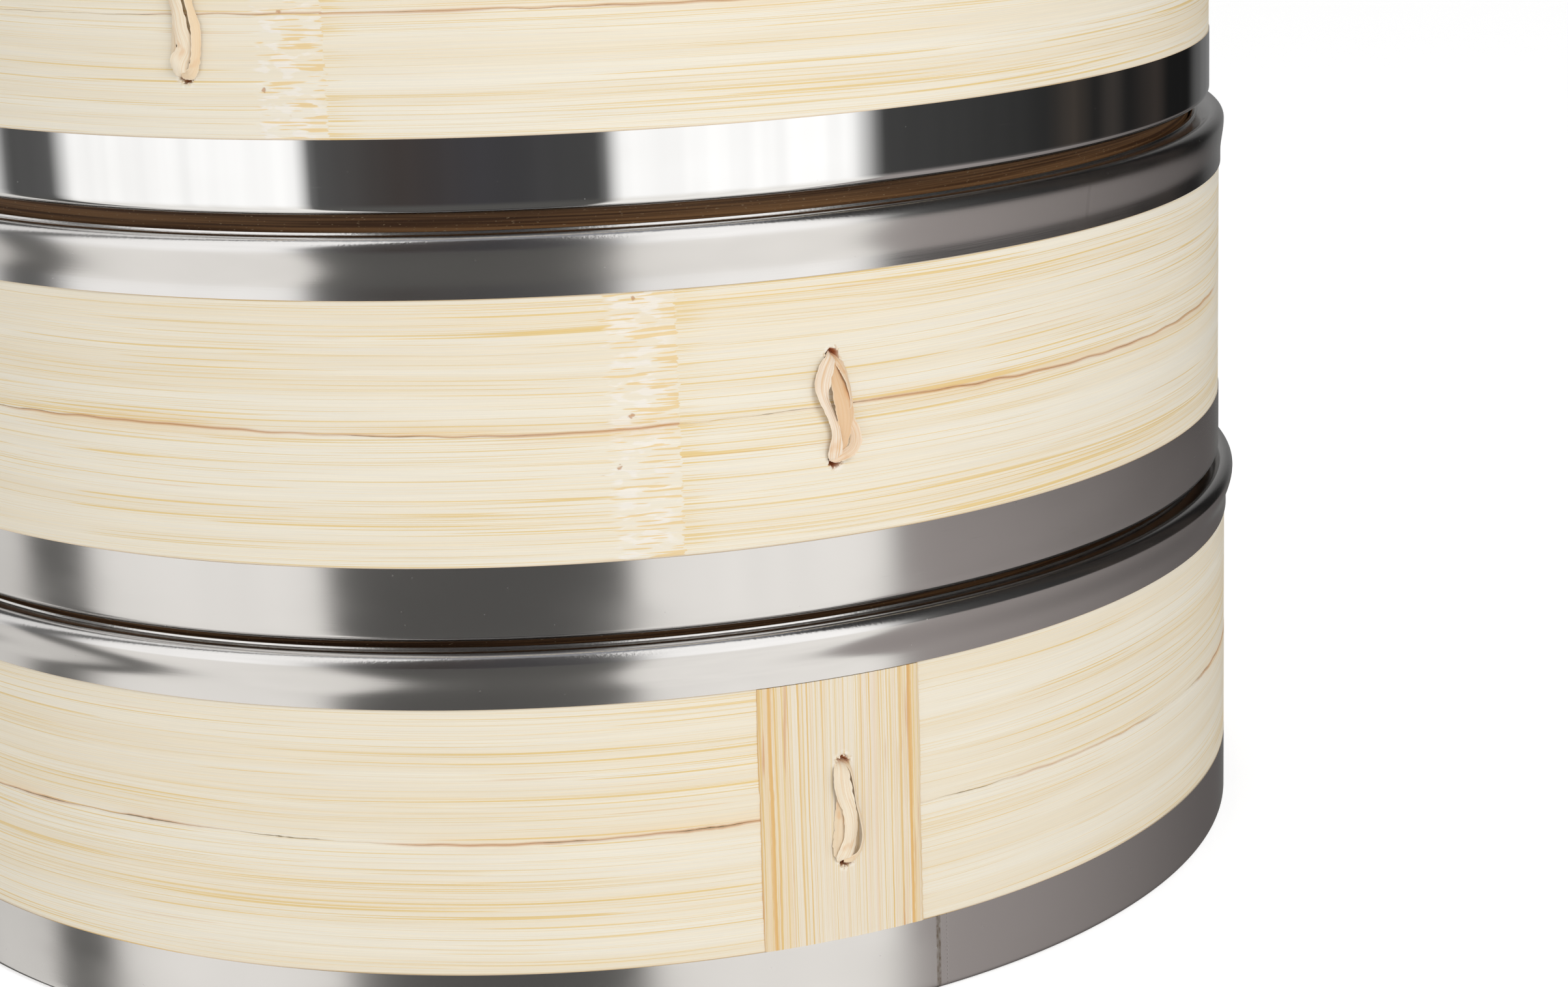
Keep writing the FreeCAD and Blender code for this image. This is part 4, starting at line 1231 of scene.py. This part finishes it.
TABLE_RIGHT_TINT = (1.0, 0.915, 0.895, 1.0)
DOME_LEFT = (0.575, 0.575, 0.57, 1.0)
DOME_RIGHT = (0.235, 0.235, 0.24, 1.0)
LOW_PANEL_SHIFT = 0.05


def ramp(nodes, fac, stops):
    node = nodes.new("ShaderNodeValToRGB")
    node.color_ramp.interpolation = "LINEAR"
    elements = node.color_ramp.elements
    while len(elements) < len(stops):
        elements.new(0.5)
    for element, (place, level) in zip(elements, stops):
        element.position = place
        element.color = level if isinstance(level, tuple) else (level, level, level, 1.0)
    nodes.feed(node.inputs["Fac"], fac)
    return node.outputs["Color"]


def add_world():
    """White behind the object, a soft even dome for matt surfaces, and tall white panels with dark
    gaps for what shines."""
    world = bpy.data.worlds.new("studio")
    bpy.context.scene.world = world
    world.use_nodes = True
    world.cycles.sampling_method = "NONE"
    n = Nodes(world.node_tree)
    out = n.new("ShaderNodeOutputWorld")
    x, y, z = n.split(n.new("ShaderNodeTexCoord").outputs["Generated"])
    around = n.math("ARCTAN2", x, n.times(y, -1.0))
    table = n.step(z, -0.17, -0.25)
    # Low down at the right, every panel starts a little further round.
    later = n.times(n.times(table, n.step(around, 0.35, 0.6)), -LOW_PANEL_SHIFT)
    fac = n.math("MULTIPLY_ADD", n.add(around, later), 0.5 / math.pi, 0.5)
    panels = ramp(n, fac, [((a + 180.0) / 360.0, level) for a, level in STUDIO_ZONES])
    streaks = n.noise(n.vector(n.times(x, 14.0), n.times(y, 14.0), n.times(z, 1.2)), detail=2.0)
    panels = n.mix(1.0, panels, n.step(streaks, 0.3, 0.7, 0.95, 1.05), "MULTIPLY")
    # Below the horizon the dark parts see the pale table; overhead is a dim ceiling panel.
    below = n.mix(1.0, panels, TABLE_TINT, "MULTIPLY")
    turned = n.times(around, 180.0 / math.pi)
    at_right = n.times(n.step(turned, 52.5, 58.0), n.step(turned, 178.0, 160.0, 0.25, 1.0))
    right_level = n.step(turned, 55.0, 150.0, 0.40, 0.13)
    floor_tone = n.mix(1.0, right_level, TABLE_RIGHT_TINT, "MULTIPLY")
    floor_tone = n.mix(at_right, TABLE_LEFT, floor_tone)
    panels = n.mix(table, panels, n.mix(1.0, below, floor_tone, "LIGHTEN"))
    overhead = n.step(z, 0.90, 0.97)
    panels = n.mix(overhead, panels, CEILING)
    dome = n.mix(n.step(x, -0.2, 0.9), DOME_LEFT, DOME_RIGHT)
    path = n.new("ShaderNodeLightPath")
    seen = n.mix(path.outputs["Is Glossy Ray"], dome, panels)
    seen = n.mix(path.outputs["Is Camera Ray"], seen, WHITE)
    background = n.new("ShaderNodeBackground")
    n.feed(background.inputs["Color"], seen)
    n.tree.links.new(background.outputs[0], out.inputs["Surface"])


def add_key_light():
    data = bpy.data.lights.new("key", "AREA")
    data.shape = "RECTANGLE"
    data.size = KEY_SIZE
    data.size_y = KEY_SIZE
    data.energy = KEY_POWER
    light = bpy.data.objects.new("key", data)
    light.location = KEY_PLACE
    aim = Vector(KEY_TARGET) - Vector(KEY_PLACE)
    light.rotation_euler = aim.to_track_quat("-Z", "Y").to_euler()
    light.visible_glossy = False
    light.visible_camera = False
    bpy.context.scene.collection.objects.link(light)


def add_floor():
    """A wide pale sweep.  The steel doesn't mirror it, so that it mirrors the studio instead."""
    count = 96
    turn = np.linspace(0.0, 2.0 * np.pi, count, endpoint=False)
    radii = np.array([0.05, 0.3, 1.0, 2.5, 6.0])
    points = np.stack([radii[:, None] * np.cos(turn), radii[:, None] * np.sin(turn),
                       np.full((len(radii), count), -FLOOR_DROP)], -1).reshape(-1, 3)
    mesh = bpy.data.meshes.new("pale_floor")
    faces = grid_faces(len(radii), count, False, True).tolist() + [list(range(count))]
    mesh.from_pydata(points.tolist(), [], faces)
    made, n, principled = shader("pale_floor")
    place = n.new("ShaderNodeTexCoord").outputs["Object"]
    speck = n.noise(place, scale=60.0, detail=3.0)
    n.feed(principled.inputs["Base Color"], n.mix(speck, srgb(245, 245, 245), srgb(249, 249, 249)))
    principled.inputs["Roughness"].default_value = 0.8
    principled.inputs["Specular IOR Level"].default_value = 0.1
    principled.inputs["Emission Color"].default_value = WHITE
    seen = n.new("ShaderNodeLightPath").outputs["Is Camera Ray"]
    glow = n.math("MULTIPLY_ADD", seen, FLOOR_GLOW_IN_VIEW, FLOOR_GLOW)
    n.feed(principled.inputs["Emission Strength"], glow)
    mesh.materials.append(made)
    floor = bpy.data.objects.new("pale_floor", mesh)
    floor.visible_glossy = False
    bpy.context.scene.collection.objects.link(floor)


# ---------------------------------------------------------------- the steamer

def build_steamer():
    wall = bamboo("bamboo_wall")
    cover = upright_bamboo("bamboo_cover")
    raw = bamboo("bamboo_raw", lines=1.2, shade=(0.94, 0.88, 0.78), rough=0.58)
    slats = bamboo("bamboo_sticks", lines=1.1, shade=(0.95, 0.90, 0.81), rough=0.55, stick_tone=0.10)
    woven = bamboo("bamboo_splints", lines=1.1, shade=(0.96, 0.90, 0.79), rough=0.5, stick_tone=0.14)
    tan = raffia("raffia_tan", srgb(248, 231, 210), srgb(233, 192, 145))
    pale = raffia("raffia_pale", srgb(248, 234, 210), srgb(240, 213, 176))
    satin = steel("steel_satin", (0.67, 0.655, 0.64, 1.0), 0.17, 0.5)
    polished = steel("steel_polished", (0.74, 0.735, 0.725, 1.0), 0.05, 0.12)

    lower = storey("lower", "lower_tier")
    upper = storey("upper", "upper_tier")
    lid = storey("lid", "lid")
    for s in (lower, upper, lid):
        wall_strip(s, "bottom", wall)
        wall_strip(s, "top", wall)
        cover_strip(s, cover)
        stitches(s, tan, pale)
    for s, seed in ((lower, 21), (upper, 22)):
        hoop(s, f"{s.name}_lip_hoop", f"{s.name}_inner_hoop", raw, s.hoop_low, s.hoop_high, seed)
        low, high = box_mm(s.name + "_floor_hoop")
        hoop(s, f"{s.name}_slat_hoop", f"{s.name}_floor_hoop", raw, low[2], high[2], seed + 5,
             chamfer=0.4, skin_side_and_gap_shade=False, holes=False)
        tier_floor(s, slats)
    hoop(lid, "lid_liner_hoop", "lid_inner_hoop", raw, lid.hoop_low, lid.hoop_high, 31,
         skin_side_and_gap_shade=False)
    ring_low, ring_high = box_mm("lid_top_ring")
    hoop(lid, "lid_clamp_ring", "lid_top_ring", raw, ring_low[2], ring_high[2], 33,
         skin_side_and_gap_shade=False, holes=False)
    lid_ribs(lid, slats)
    woven_mat(lid, "lid_fine_weave", "lid_weave_outer", woven,
              pitch=5.8, width=5.5, thickness=0.55, pattern=twill, seed=900)
    woven_mat(lid, "lid_coarse_weave", "lid_weave_inner", woven,
              pitch=13.0, width=12.2, thickness=0.6, pattern=plain_weave, seed=950)

    base_band(lower, satin, weld=(27.3, 1.0), seed=41)
    base_band(upper, satin, weld=(150.0, 1.0), seed=42)
    base_band(lid, polished, weld=(200.0, 0.6), seed=43)
    rim_band(lower, satin, weld=(205.0, 1.0), seed=44)
    rim_band(upper, satin, weld=(44.0, 0.12), seed=45)


build_steamer()
add_floor()
add_world()
add_key_light()
add_camera()
bpy.context.scene.view_settings.view_transform = "Standard"
